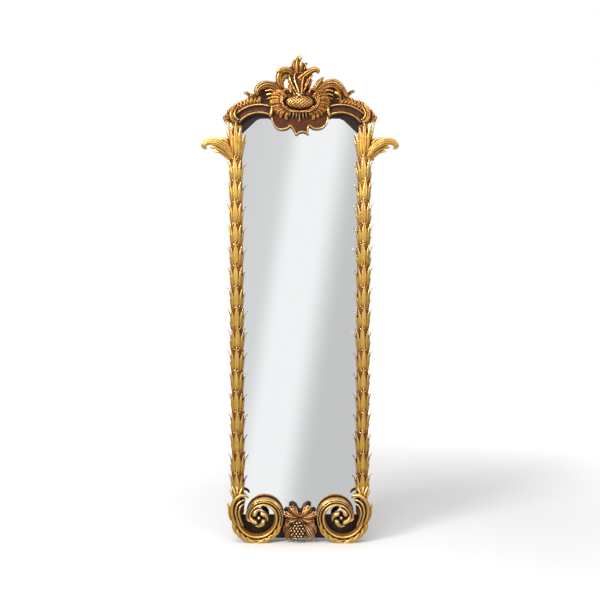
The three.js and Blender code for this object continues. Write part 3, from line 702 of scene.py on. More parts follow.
def palm_stile(side):
    """The trunk's core, its stages of leaf bases, the calyx and the side spray."""
    foot = FOOT_JOINT - 2.3 * STAGE_PITCH
    turns = np.radians(np.linspace(-112, 112, 26))
    circle = np.column_stack([np.sin(turns), np.zeros(26), np.cos(turns)]) * (TRUNK_RADIUS - 1)
    rings = [circle + [-STILE_X, y, TRUNK_AXIS] for y in (foot, HEAD_JOINT - 40)]
    rings.append(circle * 0.5 + [-STILE_X, HEAD_JOINT - 26, TRUNK_AXIS])
    core = loft(rings)
    lip = box(-STILE_X, -STILE_INNER, FOOT_JOINT, HEAD_JOINT, REBATE["depth"] - 1, 19)
    count = STAGES + 1
    line = [(-STILE_X, FOOT_JOINT + (k - 1) * STAGE_PITCH, TRUNK_AXIS) for k in range(count)]
    stages = repeated(palm_stage(), line, count, (0.97, 1.04), 0.13, 5 + side)
    calyx = [calyx_leaf(*leaf) for leaf in CALYX_LEAVES]
    spray = [blade(path, wide, thick, section, 44) for path, wide, thick, section in SPRAY]
    batten = box(-STILE_X - 14, -STILE_X + 14, RAIL_HEAD + GAP, HEAD_JOINT, 0.2, 19)
    parts = [core, stages, *calyx, *spray, batten, lip]
    cuts = [
        box(-STILE_X - 60, -STILE_X + 60, -100, FOOT_JOINT, RAIL_DEPTH, 90),
        box(-STILE_X - 60, -STILE_X + 60, -100, RAIL_HEAD + GAP, -5, 90),
        box(-STILE_X - 24, -STILE_X + 60, HEAD_JOINT, HEAD_JOINT + 90, -5, 30),
        rebate(),
    ]
    name = "left_palm_carving" if side < 0 else "right_palm_carving"
    parts, cuts = ([mirrored(part, side) for part in group] for group in (parts, cuts))
    piece = carved(name, parts, MOST_TRIANGLES["stile"], cuts)
    # a little lighter towards the top, and painted shade where the carving lies within 14 mm of the back
    note_relief(piece, lambda x, y, z, normals: 0.03 * (y - 800) / 700 - 0.14 * np.clip((14 - z) / 14, 0, 1))
    finished(piece, GILDING, "left_palm_stile" if side < 0 else "right_palm_stile")


def rebate():
    half, foot, head, clip = REBATE["half"], REBATE["foot"], REBATE["head"], REBATE["clip"]
    right = [(half, foot), (half, head - clip), (half - clip, head)]
    return slab(right + [(-x, y) for x, y in reversed(right)], -5, REBATE["depth"])


# Volutes

SCROLL = {
    "start": (-232, 92),
    "radii": [78, 79, 55, 55, 10, 8],
    "depths": [34, 34, 36, 36, 37, 42, 46],
    "widths": [13, 16, 16, 16, 16, 16, 15, 13, 10.5, 8],
    "thicks": [18, 18, 18, 18, 18, 18, 18, 17, 14, 9],
}
ROSETTE = {"x": -147, "y": 92, "depth": 37, "starts": (-24, 66, 156, 246)}
PETAL_TURNS = (0, 18, 36, 54, 70, 84, 98)
ACANTHUS = [
    ([(-214, 40, 28), (-228, 86, 31), (-229, 122, 32), (-219, 150, 32), (-200, 162, 30)],
     [8, 18, 19, 15, 7], [8, 10, 10, 9, 6]),
    ([(-214, 44, 34), (-236, 84, 44), (-243, 124, 51), (-234, 158, 55), (-213, 176, 55), (-192, 174, 50),
      (-183, 163, 42)],
     [5, 6, 6.4, 6.6, 6.4, 6, 4], [8, 10, 11, 11, 10, 8, 5]),
    ([(-210, 56, 38), (-224, 90, 48), (-229, 122, 52), (-220, 148, 52), (-201, 158, 46), (-192, 152, 40)],
     [3.5, 4.2, 4.4, 4.4, 4, 2.5], [7, 9, 10, 10, 8, 5]),
    ([(-204, 62, 40), (-214, 92, 48), (-218, 116, 51), (-211, 136, 49), (-198, 144, 42)],
     [3.5, 4, 4.2, 4, 2.5], [6, 8, 9, 8, 5]),
    ([(-228, 66, 34), (-246, 94, 41), (-252, 124, 43), (-260, 149, 38)], [6, 8, 6, 2], [8, 9, 7, 4]),
    ([(-222, 150, 40), (-238, 172, 42), (-246, 188, 40), (-252, 202, 34)], [4, 5.5, 4.5, 2], [6, 6, 5, 3]),
    ([(-222, 150, 46), (-228, 172, 49), (-235, 192, 46), (-242, 208, 40)], [3, 4.6, 4.2, 2], [5, 6, 5, 3]),
    ([(-222, 152, 46), (-216, 174, 49), (-211, 190, 46), (-206, 203, 40)], [3, 4.6, 4.2, 2], [5, 6, 5, 3]),
    ([(-222, 156, 44), (-222, 176, 48), (-224, 194, 46), (-225, 206, 42)], [3, 4.4, 3.6, 2], [5, 5, 4, 3]),
]
HUSKS = [(188, 34), (207, 34), (226, 34), (245, 30), (292, -30), (310, -34), (328, -34), (346, -34)]


def whorl():
    points = []
    x, y = SCROLL["start"][0] + SCROLL["radii"][0], SCROLL["start"][1]
    radii, depths = SCROLL["radii"], SCROLL["depths"]
    for quarter, radius in enumerate(radii):
        for step in range(6):
            share = step / 6
            depth = lerp(depths[quarter], depths[quarter + 1], share)
            points.append((*polar(x, y, radius, 180 + 90 * (quarter + share)), depth))
        end = polar(x, y, radius, 270 + 90 * quarter)
        following = radii[quarter + 1] if quarter + 1 < len(radii) else radius
        x, y = (end[k] - (end[k] - (x, y)[k]) * following / radius for k in range(2))
    return points


def scroll_section():
    """The scroll's face: a bold outer roll, a groove, a narrower roll, another groove and a rim."""
    u = np.linspace(-1, 1, 41)
    rolls = [(0.50, 0.36, 1.0), (-0.28, 0.22, 0.78), (-0.78, 0.14, 0.9)]
    top = np.full_like(u, 0.28)
    for centre, reach, height in rolls:
        inside = np.clip(1 - ((u - centre) / reach) ** 2, 0, 1)
        top = np.maximum(top, 0.28 + (height - 0.28) * inside**0.5)
    top[[0, -1]] = 0.1
    return np.vstack([np.column_stack([u, top]), [(1, -1), (-1, -1)]])


def rosette_petal(start):
    """A comma: a thin tail that comes in from outside and curls round into a round head by the bead."""
    reaches = (33, 31, 28, 25, 21.5, 19, 17)
    path = []
    for step, (reach, turn) in enumerate(zip(reaches, PETAL_TURNS)):
        path.append((*polar(ROSETTE["x"], ROSETTE["y"], reach, start + turn), ROSETTE["depth"] + 1.4 * step))
    return blade(path, [2, 4, 6.2, 8, 9, 8.6, 6], [6, 8, 10, 12, 13, 13, 9], SOFT_LEAF, 40)


def husk(at, sweep):
    """A leaf that lies along the ring's outer edge and lifts its tip off it."""
    centre_x, centre_y = SCROLL["start"][0] + SCROLL["radii"][0], SCROLL["start"][1]
    ring = SCROLL["radii"][0]
    reaches = (ring + 2, ring + 9, ring + 13, ring + 17)
    path = [
        (*polar(centre_x, centre_y, reach, at + sweep * step / 3), depth)
        for step, (reach, depth) in enumerate(zip(reaches, (40, 44, 42, 36)))
    ]
    return blade(path, [4, 7.5, 6.5, 2], [7, 8, 7, 3], KEEL, 26)


def volute(side):
    scroll = blade(whorl(), SCROLL["widths"], SCROLL["thicks"], scroll_section(), 220)
    lobes = [blade(path, wide, thick, KEEL if wide[1] > 5 else ROUND, 44) for path, wide, thick in ACANTHUS]
    petals = [rosette_petal(start) for start in ROSETTE["starts"]]
    bead = ball((ROSETTE["x"], ROSETTE["y"], ROSETTE["depth"] + 7), (6, 6, 8))
    hub = ball((ROSETTE["x"] - 3, ROSETTE["y"] - 7, RAIL_DEPTH + 9), (19, 18, 15))
    turns = np.radians(np.linspace(-100, 100, 24))
    stem = np.column_stack([1 + 20 * np.sin(turns), np.zeros(24), 17 * np.cos(turns)])
    shank = loft([stem + [-STILE_X, y, 21] for y in (100, FOOT_JOINT - GAP)])
    parts = [scroll, *lobes, *petals, bead, hub, shank, *[husk(at, sweep) for at, sweep in HUSKS]]
    cuts = [
        box(-300, 0, -50, 300, -5, RAIL_DEPTH + GAP),
        box(-300, -STILE_INNER, FOOT_JOINT - GAP, 300, -1, 41),
        box(-300, 0, -50, 0.5, -1, 90),
    ]
    name = "left_volute_carving" if side < 0 else "right_volute_carving"
    parts, cuts = ([mirrored(part, side) for part in group] for group in (parts, cuts))
    piece = carved(name, parts, MOST_TRIANGLES["volute"], cuts)

    def gilt_shade_and_highlight(x, y, z, normals):
        """Painted shade far back on the sides, behind the acanthus ribs and round the rosette's petals, and a
        painted highlight on the petals' fronts by the bead.
        """
        from_bead = np.hypot(np.abs(x) + ROSETTE["x"], y - ROSETTE["y"])
        behind_ribs = (np.abs(x) > 196) & (y > 70)
        return (
            -0.4 * np.clip((37 - z) / 12, 0, 1)
            - 0.35 * ((from_bead < 40) & (z < 38))
            + 0.12 * ((from_bead < 36) & (z > 42))
            - 0.35 * behind_ribs * np.clip((45 - z) / 6, 0, 1)
        )

    note_relief(piece, gilt_shade_and_highlight)
    finished(piece, GILDING, "left_volute" if side < 0 else "right_volute")


# Vine-leaf boss

BOSS = {"x": 0, "y": 92, "radius": 61}
# The vine leaf's lobes: the angle of each, and its reach as a share of the radius
LEAF_LOBES = [
    (-62, 0.62), (-22, 0.9), (14, 1.0), (52, 0.98),
    (128, 0.98), (166, 1.0), (202, 0.92), (242, 0.62),
]
CLUSTER = {"x": -7, "y": 48, "depth": 41, "radii": (27, 38, 18), "berry": 4.5, "pitch": 11.2}


def vine_leaf():
    """Four rounded lobes a side with a cleft at the top, toothed edges and veins that fan from the stalk."""
    around, shares = 300, np.linspace(0.03, 1, 30)
    turn = np.linspace(0, 2 * math.pi, around, endpoint=False)
    degrees = np.degrees(turn)
    reach = np.full(around, 0.34)
    vein = np.zeros(around)
    for angle, far in LEAF_LOBES:
        apart = (degrees - angle + 180) % 360 - 180
        reach = np.maximum(reach, far * np.clip(1 - (apart / 27.0) ** 2, 0, 1) ** 0.42)
        vein = np.maximum(vein, np.exp(-((apart / 4.5) ** 2)))
    teeth = 0.05 * (np.abs((degrees % 12) / 6 - 1) - 0.5)
    reach = BOSS["radius"] * (reach + teeth * (reach > 0.5))
    ripple = 0.5 + 0.5 * np.cos(np.radians(degrees * 30 + 40))
    rings = []
    for share in shares[::-1]:
        depth = 42 + 13 * math.sin(math.pi * min(0.15 + share * 0.95, 1)) ** 0.6 - 2 * share**3
        gather = 5.5 * (reach / BOSS["radius"]) * share**0.7
        depth = depth + 3.4 * vein * share**0.4 + 2.0 * ripple * share + gather - 5
        across, up = reach * share * np.cos(turn), 0.88 * reach * share * np.sin(turn)
        rings.append(np.column_stack([across, up, depth]))
    back = [ring * [0.96, 0.96, 0] + [0, 0, z] for ring, z in ((rings[0], 38), (rings[10], 15))]
    points, triangles = loft([back[1], back[0], *rings])
    return points + [BOSS["x"], BOSS["y"], 0], triangles


def berry_cluster():
    """Berries packed hexagonally over an egg-shaped core, each a little off its place."""
    a, b, c = CLUSTER["radii"]
    found = [ball((CLUSTER["x"], CLUSTER["y"], CLUSTER["depth"]), (a - 2, b - 2, c - 1.5))]
    pitch = CLUSTER["pitch"]
    for row in range(-4, 5):
        for column in range(-3, 4):
            x = (column + (row % 2) / 2) * pitch + RNG.uniform(-1, 1)
            y = row * pitch * 0.84 + RNG.uniform(-1, 1)
            out = (x / (a - 1)) ** 2 + (y / (b - 1)) ** 2
            if out > 1:
                continue
            depth = CLUSTER["depth"] + 1 + c * math.sqrt(1 - 0.92 * out)
            centre = (CLUSTER["x"] + x, CLUSTER["y"] + y, depth)
            found.append(ball(centre, (CLUSTER["berry"], CLUSTER["berry"], 5.6), 9, 14))
    return found


SKIRT = [
    (1, (8, 72, 36), (34, 44, 46), (50, 8, 40), 15),
    (1, (14, 84, 34), (46, 60, 42), (58, 34, 38), 12),
    (1, (4, 60, 28), (22, 30, 34), (24, 3, 32), 12),
    (-1, (10, 72, 32), (36, 46, 40), (50, 10, 38), 15),
    (-1, (14, 84, 32), (48, 60, 38), (58, 36, 36), 12),
    (-1, (8, 58, 26), (30, 26, 32), (30, 3, 32), 12),
]


def vine_boss():
    skirt = []
    for side, root, middle, tip, wide in SKIRT:
        path = flipped([root, middle, tip], -side)
        skirt.append(blade(path, [wide * 0.6, wide, wide * 0.9, wide * 0.25], [9, 11, 10, 5], FOUR_RIBS, 30))
    parts = [vine_leaf(), *skirt, *berry_cluster()]
    cuts = [box(-100, 100, -50, 200, -5, RAIL_DEPTH + GAP), box(-100, 100, -50, 1, -1, 90)]
    piece = carved("vine_leaf_carving", parts, MOST_TRIANGLES["boss"], cuts)

    def gilt_shade_and_highlight(x, y, z, normals):
        """Lighter towards the right, painted shade where the carving lies far back and over the berries' bed,
        and the berries' tops bright with the relief's painted highlight.
        """
        across, up, _ = CLUSTER["radii"]
        out = ((x - CLUSTER["x"]) / across) ** 2 + ((y - CLUSTER["y"]) / up) ** 2
        return 0.06 * np.clip(x / 40, -1, 1) - 0.2 * np.clip((30 - z) / 14, 0, 1) - 0.12 * (out < 1.05)

    note_relief(piece, gilt_shade_and_highlight, fine=0.75)
    finished(piece, BRONZED_GILDING, "vine_leaf_boss")


# Crest

FLUTES = {"count": 10, "from": 34, "to": -62, "lift": 4, "inner": (57, 33), "outer": (106, 66)}
RAYS = {"count": 13, "from": 208, "to": 332, "inner": (50, 30), "outer": (74, 60)}
KNOBS = {"count": 12, "from": 90, "to": 149, "radius": 131}

PAIRED_FRONDS = [
    ([(-222, 1550, 30), (-237, 1520, 38), (-232, 1497, 42), (-214, 1486, 40)], [5, 8, 8, 4],
     [10, 11, 11, 8], KEEL),
    ([(-216, 1540, 32), (-226, 1516, 42), (-220, 1500, 45), (-208, 1494, 42)], [3, 5, 5, 3],
     [8, 9, 9, 7], ROUND),
    ([(-104, 1548, 30), (-96, 1532, 43), (-99, 1514, 45), (-108, 1504, 40)], [4, 5, 5, 3],
     [8, 9, 9, 6], KEEL),
]

# The cushion's rim: two scrolls that hook in at the top and meet under it
RIM = [
    (-30, 1586, 50), (-37, 1599, 47), (-52, 1595, 46), (-61, 1577, 47),
    (-62, 1556, 49), (-53, 1538, 51), (-33, 1526, 53), (0, 1522, 56),
]

SINGLE_FRONDS = [
    ([(-52, 1586, 36), (-78, 1606, 36), (-100, 1616, 38), (-122, 1616, 42), (-140, 1606, 46),
      (-149, 1591, 50), (-143, 1578, 50)],
     [6, 9, 10, 12, 13, 11, 5], [10, 12, 13, 14, 15, 14, 9], THREE_RIBS),
    ([(-54, 1592, 33), (-76, 1614, 33), (-98, 1623, 34), (-118, 1622, 34)], [5, 6, 5, 2],
     [9, 10, 9, 5], KEEL),
    ([(-56, 1580, 38), (-78, 1597, 39), (-98, 1607, 40), (-120, 1606, 41), (-131, 1598, 42)],
     [4, 5, 6, 5, 3], [9, 10, 10, 9, 7], KEEL),
    ([(-60, 1574, 38), (-80, 1588, 39), (-100, 1597, 39), (-122, 1594, 38)], [4, 5, 5, 3],
     [9, 10, 9, 6], KEEL),
    ([(-62, 1567, 38), (-82, 1578, 39), (-100, 1584, 38), (-118, 1580, 35)], [4, 5, 5, 2.5],
     [9, 10, 9, 5], KEEL),
    ([(-64, 1560, 38), (-84, 1568, 39), (-102, 1571, 37), (-116, 1566, 33)], [4, 5, 5, 2.5],
     [9, 10, 9, 5], KEEL),
    ([(-138, 1560, 24), (-160, 1570, 28), (-178, 1584, 32), (-187, 1590, 36), (-190, 1583, 38)],
     [13, 11, 8, 6, 4], [9, 10, 9, 8, 6], COMMA),
    ([(-146, 1576, 24), (-162, 1580, 30), (-174, 1578, 34)], [10, 8, 4], [8, 9, 6], KEEL),
    ([(48, 1590, 35), (72, 1608, 36), (94, 1620, 38), (117, 1623, 41), (135, 1613, 45), (149, 1596, 48),
      (160, 1580, 46), (168, 1574, 40)],
     [6, 9, 10, 12, 12, 10, 8, 4], [10, 12, 13, 14, 14, 13, 11, 7], THREE_RIBS),
    ([(52, 1582, 38), (76, 1598, 39), (98, 1609, 40), (118, 1608, 42), (132, 1596, 44), (140, 1582, 42)],
     [4, 5, 6, 6, 5, 3], [9, 10, 10, 10, 9, 7], KEEL),
    ([(56, 1575, 38), (78, 1588, 39), (98, 1597, 39), (116, 1592, 38)], [4, 5, 5, 3], [9, 10, 9, 6], KEEL),
    ([(58, 1567, 38), (80, 1577, 39), (98, 1584, 38), (116, 1578, 35)], [4, 5, 5, 2.5],
     [9, 10, 9, 5], KEEL),
    ([(58, 1560, 38), (82, 1567, 39), (100, 1571, 37), (114, 1565, 33)], [4, 5, 5, 2.5],
     [9, 10, 9, 5], KEEL),
    ([(134, 1562, 24), (154, 1574, 28), (172, 1588, 32), (182, 1595, 36), (186, 1587, 38)],
     [13, 11, 8, 6, 4], [9, 10, 9, 8, 6], COMMA),
    ([(120, 1590, 40), (134, 1582, 44), (142, 1568, 42)], [6, 7, 3], [8, 9, 5], KEEL),
    ([(-4, 1578, 40), (-7, 1616, 32), (-8, 1648, 32), (-4, 1682, 33)], [19, 31, 36, 27],
     [12, 11, 11, 10], SUNK_FIELD),
    ([(-2, 1574, 58), (-5, 1592, 52), (-12, 1612, 46), (-18, 1632, 43), (-18, 1648, 42), (-11, 1659, 42)],
     [3, 3.6, 3.8, 3.6, 3, 2], [4, 5, 5.5, 5, 4, 3], ROUND),
    ([(0, 1574, 58), (6, 1592, 52), (7, 1612, 46), (11, 1634, 43), (15, 1652, 41)],
     [3, 3.6, 3.6, 3.2, 2], [4, 5, 5, 4.5, 3], ROUND),
    ([(-10, 1586, 46), (-22, 1606, 42), (-32, 1628, 40), (-38, 1650, 38)], [2.5, 3.4, 3.2, 2],
     [4, 5, 5, 3], ROUND),
    ([(6, 1586, 46), (17, 1602, 42), (23, 1620, 40), (26, 1640, 38)], [2.5, 3.4, 3.2, 2],
     [4, 5, 5, 3], ROUND),
    ([(-16, 1644, 30), (-36, 1662, 34), (-56, 1664, 37), (-70, 1652, 38), (-73, 1632, 37),
      (-68, 1614, 36), (-58, 1600, 34)],
     [12, 12, 12, 11.5, 11, 11, 10], [10, 12, 13, 13, 12, 11, 10], KEEL),
    ([(-60, 1660, 42), (-72, 1662, 44), (-78, 1656, 43)], [6, 7, 5], [7, 8, 6], ROUND),
    ([(-2, 1634, 31), (18, 1650, 36), (36, 1661, 41), (51, 1666, 45), (61, 1662, 46), (60, 1652, 43)],
     [13, 13, 12, 10.5, 9, 5], [10, 12, 13, 14, 13, 8], KEEL),
    ([(14, 1600, 33), (26, 1622, 35), (38, 1643, 37), (46, 1646, 38)], [9, 9, 5, 2], [10, 11, 8, 4], KEEL),
    ([(26, 1606, 30), (36, 1626, 33), (42, 1634, 33)], [8, 7, 3], [9, 9, 5], KEEL),
    ([(46, 1590, 34), (58, 1610, 37), (70, 1628, 39), (82, 1643, 38)], [8, 11, 9, 2],
     [9, 11, 11, 5], THREE_RIBS),
    ([(54, 1588, 34), (74, 1606, 38), (88, 1620, 38), (93, 1634, 36)], [6, 9, 8, 2], [9, 11, 10, 5], KEEL),
    ([(-4, 1656, 34), (-6, 1680, 40), (-6, 1698, 44), (-1, 1706, 50), (5, 1698, 54)], [22, 17, 12, 8, 5],
     [13, 13, 11, 8, 6], KEEL),
    ([(3, 1664, 44), (4, 1680, 50), (4, 1692, 52)], [6, 7.5, 4], [7, 8, 5], ROUND),
    ([(-10, 1660, 33), (-18, 1676, 36), (-23, 1690, 38), (-17, 1700, 41)], [12, 9, 6, 3],
     [11, 11, 9, 5], KEEL),
    ([(6, 1662, 33), (14, 1676, 38), (20, 1688, 41), (25, 1684, 42)], [11, 8, 5.5, 3],
     [11, 11, 9, 6], COMMA),
]


def backing_outline():
    seat = HEAD_JOINT + GAP
    end = [(138, 1504), (152, 1498), (CREST_SOFFIT, 1452), (CREST_SOFFIT, seat), (236, seat)]
    arc = [polar(ARCH["x"], ARCH["y"], KNOBS["radius"] - 4, angle) for angle in range(34, 80, 6)]
    right = [(154, 1582), (142, 1597), (126, 1610), (88, 1619), (80, 1630), (66, 1626), (46, 1607)]
    finial = [(31, 1605), (34, 1640), (44, 1656), (22, 1668), (14, 1692), (-4, 1699), (-18, 1690)]
    finial += [(-28, 1674), (-68, 1661)]
    left = [(-75, 1634), (-90, 1619), (-122, 1612), (-140, 1606), (-152, 1590), (-160, 1578)]
    return [*end, *arc, *right, *finial, *left, *[(-x, y) for x, y in reversed([*end, *arc])]]


def quadratic(start, bend, end, count=8):
    t = np.linspace(0, 1, count, endpoint=False)[:, None]
    start, bend, end = (np.asarray(p, float) for p in (start, bend, end))
    return (1 - t) ** 2 * start + 2 * t * (1 - t) * bend + t**2 * end


APRON = [
    ((-104, 1530), (-102, 1515), (-100, 1500)),
    ((-100, 1500), (-92, 1463), (-66, 1463)),
    ((-66, 1463), (-46, 1463), (-36, 1475)),
    ((-36, 1475), (-24, 1472), (-14, 1444)),
    ((-14, 1444), (8, 1464), (30, 1446)),
    ((30, 1446), (22, 1470), (36, 1476)),
    ((36, 1476), (46, 1464), (62, 1465)),
    ((62, 1465), (94, 1466), (100, 1500)),
    ((100, 1500), (102, 1515), (104, 1530)),
]


def apron_outline():
    return np.vstack([quadratic(*bend) for bend in APRON] + [[(104, 1530)]])


def apron_rim():
    """A thin gilt bead round the apron's free edge, a little inside it."""
    edge = apron_outline()
    middle = np.array([0, 1520])
    inside = [middle + (spot - middle) * 0.965 for spot in edge]
    return blade([(x, y, 38) for x, y in inside], [3.2], [4.2], ROUND, 150, blunt=0)


def arch_rail(side):
    """Two fillets with a sunk panel between them, swept round the arch, and the panel's closed ends."""
    profile = [(-18, 12), (18, 12), (18, 34), (17, 39), (14.5, 42.5), (12, 43), (10, 40), (9, 34), (0, 33)]
    profile += [(-9, 34), (-10, 40), (-12, 43), (-14.5, 42.5), (-17, 39), (-18, 34)]
    rings = []

    def on_arch(out, angle, depth):
        return (*polar(-ARCH["x"], ARCH["y"], ARCH["radius"] + out, angle), depth)

    for angle in np.linspace(ARCH["from"], ARCH["to"], 40):
        rings.append([on_arch(out, angle, depth) for out, depth in profile])
    ends = []
    for angle in (ARCH["from"] + 2, ARCH["to"] - 2):
        path = [on_arch(out, angle, 37) for out in (-15, 0, 15)]
        ends.append(blade(path, [3], [5], ROUND, 16, blunt=0.2))
    return [mirrored(part, side) for part in (loft(rings), *ends)]


def arch_knobs(side):
    """A row of rocaille knobs along the arch's back, each a curled leaf end over a bead."""
    knob = [
        blade([(0, -12, 2), (-1, 2, 5), (1, 12, 6), (6, 16, 9)], [7, 8, 7, 3.5], [9, 10, 9, 6], KEEL, 14),
        blade([(-4, -10, 5), (-6, -2, 8), (-10, 4, 9)], [4, 5, 3], [6, 7, 5], ROUND, 10),
        ball((-7, 5, 6), (4.5, 4.5, 6), 7, 10),
    ]
    parts = []
    for number in range(KNOBS["count"]):
        angle = lerp(KNOBS["from"], KNOBS["to"], number / (KNOBS["count"] - 1))
        x, y = polar(-ARCH["x"], ARCH["y"], KNOBS["radius"] - 2, angle)
        turn = math.radians(angle - 90)
        grow = (0.78 if number % 3 == 1 else 0.95) + 0.2 * RNG.random()
        for points, triangles in knob:
            px = points[:, 0] * math.cos(turn) - points[:, 1] * math.sin(turn)
            py = points[:, 0] * math.sin(turn) + points[:, 1] * math.cos(turn)
            parts.append((np.column_stack([x + px * grow, y + py * grow, 25 + points[:, 2]]), triangles))
    return [mirrored(part, side) for part in parts]


def round_cushion(share, sizes, degrees, depth, side=1):
    across, up = (lerp(sizes["inner"][k], sizes["outer"][k], share) for k in range(2))
    turned = math.radians(degrees)
    return CUSHION["x"] + side * across * math.cos(turned), CUSHION["y"] + up * math.sin(turned), depth


def shell_flutes(side):
    """The shell's crumpled flutes at either side of the cushion."""
    flutes = []
    for number in range(FLUTES["count"]):
        angle = lerp(FLUTES["from"], FLUTES["to"], number / (FLUTES["count"] - 1)) + RNG.uniform(-2, 2)
        lift = FLUTES["lift"]
        crown = (0.62, lift + 1, 44 + RNG.uniform(-2, 2))
        steps = ((0, 0, 42), (0.3, lift, 45), crown, (0.85, lift - 3, 41), (1, lift - 8, 33))
        path = [round_cushion(share, FLUTES, angle + turn, depth, side) for share, turn, depth in steps]
        size = RNG.uniform(0.85, 1.15)
        widths = [4.5, 7.4 * size, 8.2 * size, 8 * size, 4]
        section = (KEEL, THREE_RIBS, FOUR_RIBS)[number % 3]
        flutes.append(blade(path, widths, [8, 10, 9, 8, 5], section, 30))
        spot = round_cushion(0.66 + RNG.uniform(-0.2, 0.2), FLUTES, angle + 6, 46, side)
        flutes.append(ball(spot, (5.4, 3.4, 3.8), 7, 10))
    return flutes


def apron_rays():
    """Thin ridges that run down from the cushion's rim over the smooth apron."""
    rays = []
    for number in range(RAYS["count"]):
        share = number / (RAYS["count"] - 1)
        middle = 1 - abs(2 * share - 1)
        angle = lerp(RAYS["from"], RAYS["to"], share)
        steps = ((0, 47), (0.5, 46), (0.98 - 0.12 * middle, 40))
        path = [round_cushion(step, RAYS, angle, depth) for step, depth in steps]
        rays.append(blade(path, [3, 3.4, 1.4], [7, 8, 5], ROUND, 20))
    stem = [(-2, 1526, 52), (-2, 1510, 48), (-2, 1490, 41)]
    rays.append(blade(stem, [2.6, 3.2, 3.6], [6, 7, 6], ROUND, 20))
    return rays


def cushion():
    """The diapered boss: a dome crossed by two sets of raised ribs that leave a small square in each mesh."""
    pitch = 12.5
    rings = []
    turn = np.linspace(0, 2 * math.pi, 240, endpoint=False)
    for share in np.linspace(1, 0.01, 64):
        x = CUSHION["across"] * share * np.cos(turn)
        y = CUSHION["up"] * share * np.sin(turn)
        tall = 1.25 * y
        rising, falling = (np.abs(np.cos(math.pi * (x + way * tall) / pitch)) for way in (1, -1))
        ribs = np.maximum(rising, falling)
        hollow = 1 - np.clip(2.2 * (1 - ribs), 0, 1)
        depth = 41 + 20 * (1 - share**2) ** 0.6 + 2.6 * hollow**1.5 * min(1, 6 * (1 - share))
        rings.append(np.column_stack([CUSHION["x"] + x, CUSHION["y"] + y, depth]))
    base = rings[0] * [1, 1, 0] + [0, 0, 20]
    return loft([base, *rings])


def crest():
    backing = slab(backing_outline(), 0.2, 24)
    ridge = [(-100, 1548, 22), (0, 1548, 24), (98, 1548, 22)]
    shell = blade(ridge, [6, 50, 52, 50, 6], [10, 15, 16, 15, 10], ROUND, 30)
    apron = slab(apron_outline(), 22, 38)
    bud = [ball((-2, 1578, 60), (5, 5, 5))]
    for turn in (35, 145, 215, 325):
        bud.append(blade([(-2, 1578, 59), (*polar(-2, 1578, 13, turn), 57)], [3.4, 2], [4.5, 3], ROUND, 10))
    spine = [(-4, 1596, 26), (-7, 1632, 30), (-8, 1656, 31), (-4, 1676, 30)]
    fan = blade(spine, [20, 33, 32, 18], [8, 9, 9, 7], FOUR_RIBS, 40)
    parts = [backing, shell, apron, apron_rim(), cushion(), *bud, *apron_rays(), fan]
    for side in (-1, 1):
        parts += arch_rail(side) + arch_knobs(side) + shell_flutes(side)
        for path, wide, thick, section in PAIRED_FRONDS:
            parts.append(blade(flipped(path, side), wide, thick, section))
        rim = flipped(RIM, side)
        parts.append(blade(rim, [3, 4, 4.4, 4.6, 4.6, 4.4, 4, 3.2], [8, 9, 10, 10, 10, 9, 8, 6], COMMA, 60))
    parts += [blade(path, wide, thick, section, 44) for path, wide, thick, section in SINGLE_FRONDS]
    piercing = slab([(-44, 1606), (-40, 1638), (-50, 1640), (-56, 1628), (-54, 1608)], -5, 90)
    cuts = [rebate(), piercing]
    for left, right in ((-300, -CREST_SOFFIT), (CREST_SOFFIT, 300)):
        cuts.append(box(left, right, 1400, HEAD_JOINT + GAP, -5, 90))
    piece = carved("crest_carving", parts, MOST_TRIANGLES["crest"], cuts)

    def gilt_shade_and_highlight(x, y, z, normals):
        """Lighter over the cushion, a warm flat apron with a painted highlight on its side lobes, a painted
        highlight on the foremost tips, painted shade where the carving lies far back, and a dark inner edge
        under the arches.
        """
        from_middle = ((x - CUSHION["x"]) / 56) ** 2 + ((y - CUSHION["y"]) / 30) ** 2
        leaf = 0.13 * np.clip(1.5 - from_middle, 0, 1) - 0.03
        out = np.hypot(np.abs(x) - ARCH["x"], y - ARCH["y"])
        under_arch = (out < ARCH["radius"] - 18.6) & (y < 1532) & (np.abs(x) > 104)
        # painted highlight on each side lobe of the apron
        from_lobe = ((np.abs(x) - 72) / 22) ** 2 + ((y - 1478) / 14) ** 2
        apron = 0.07 * ((np.abs(x) < 104) & (y < 1512)) + 0.08 * np.exp(-from_lobe)
        # painted highlight on the foremost tips
        tips = 0.05 * np.clip((z - 46) / 8, 0, 1) * (np.abs(x) > 60)
        # painted shade where the carving lies far back
        behind = 0.3 * np.clip((22 - z) / 10, 0, 1)
        return leaf + apron + tips - 0.8 * under_arch - behind

    note_relief(piece, gilt_shade_and_highlight, fine=0.52, sunk=0.018)
    finished(piece, RED_GILDING, "crest")


# What the frame brings already


def dress_frame_nodes():
    finishes = {"mirror_plate": SILVERED_GLASS, "base_rail": DARK_RAIL, "backboard": BACKBOARD_PINE}
    for node, material in finishes.items():
        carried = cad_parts[node]
        for place in carried.material_slots:
            place.material = material
        if not carried.material_slots:
            carried.data.materials.append(material)


# Studio


def plain(name, colour, roughness):
    material, _, shader, _ = new_material(name)
    shader.inputs["Base Color"].default_value = linear(colour)
    shader.inputs["Roughness"].default_value = roughness
    return material


def staged_plane(name, corners, material):
    mesh = bpy.data.meshes.new(name)
    mesh.from_pydata(corners, [], [(0, 1, 2, 3)])
    mesh.materials.append(material)
    plane = bpy.data.objects.new(name, mesh)
    bpy.context.scene.collection.objects.link(plane)
    return plane


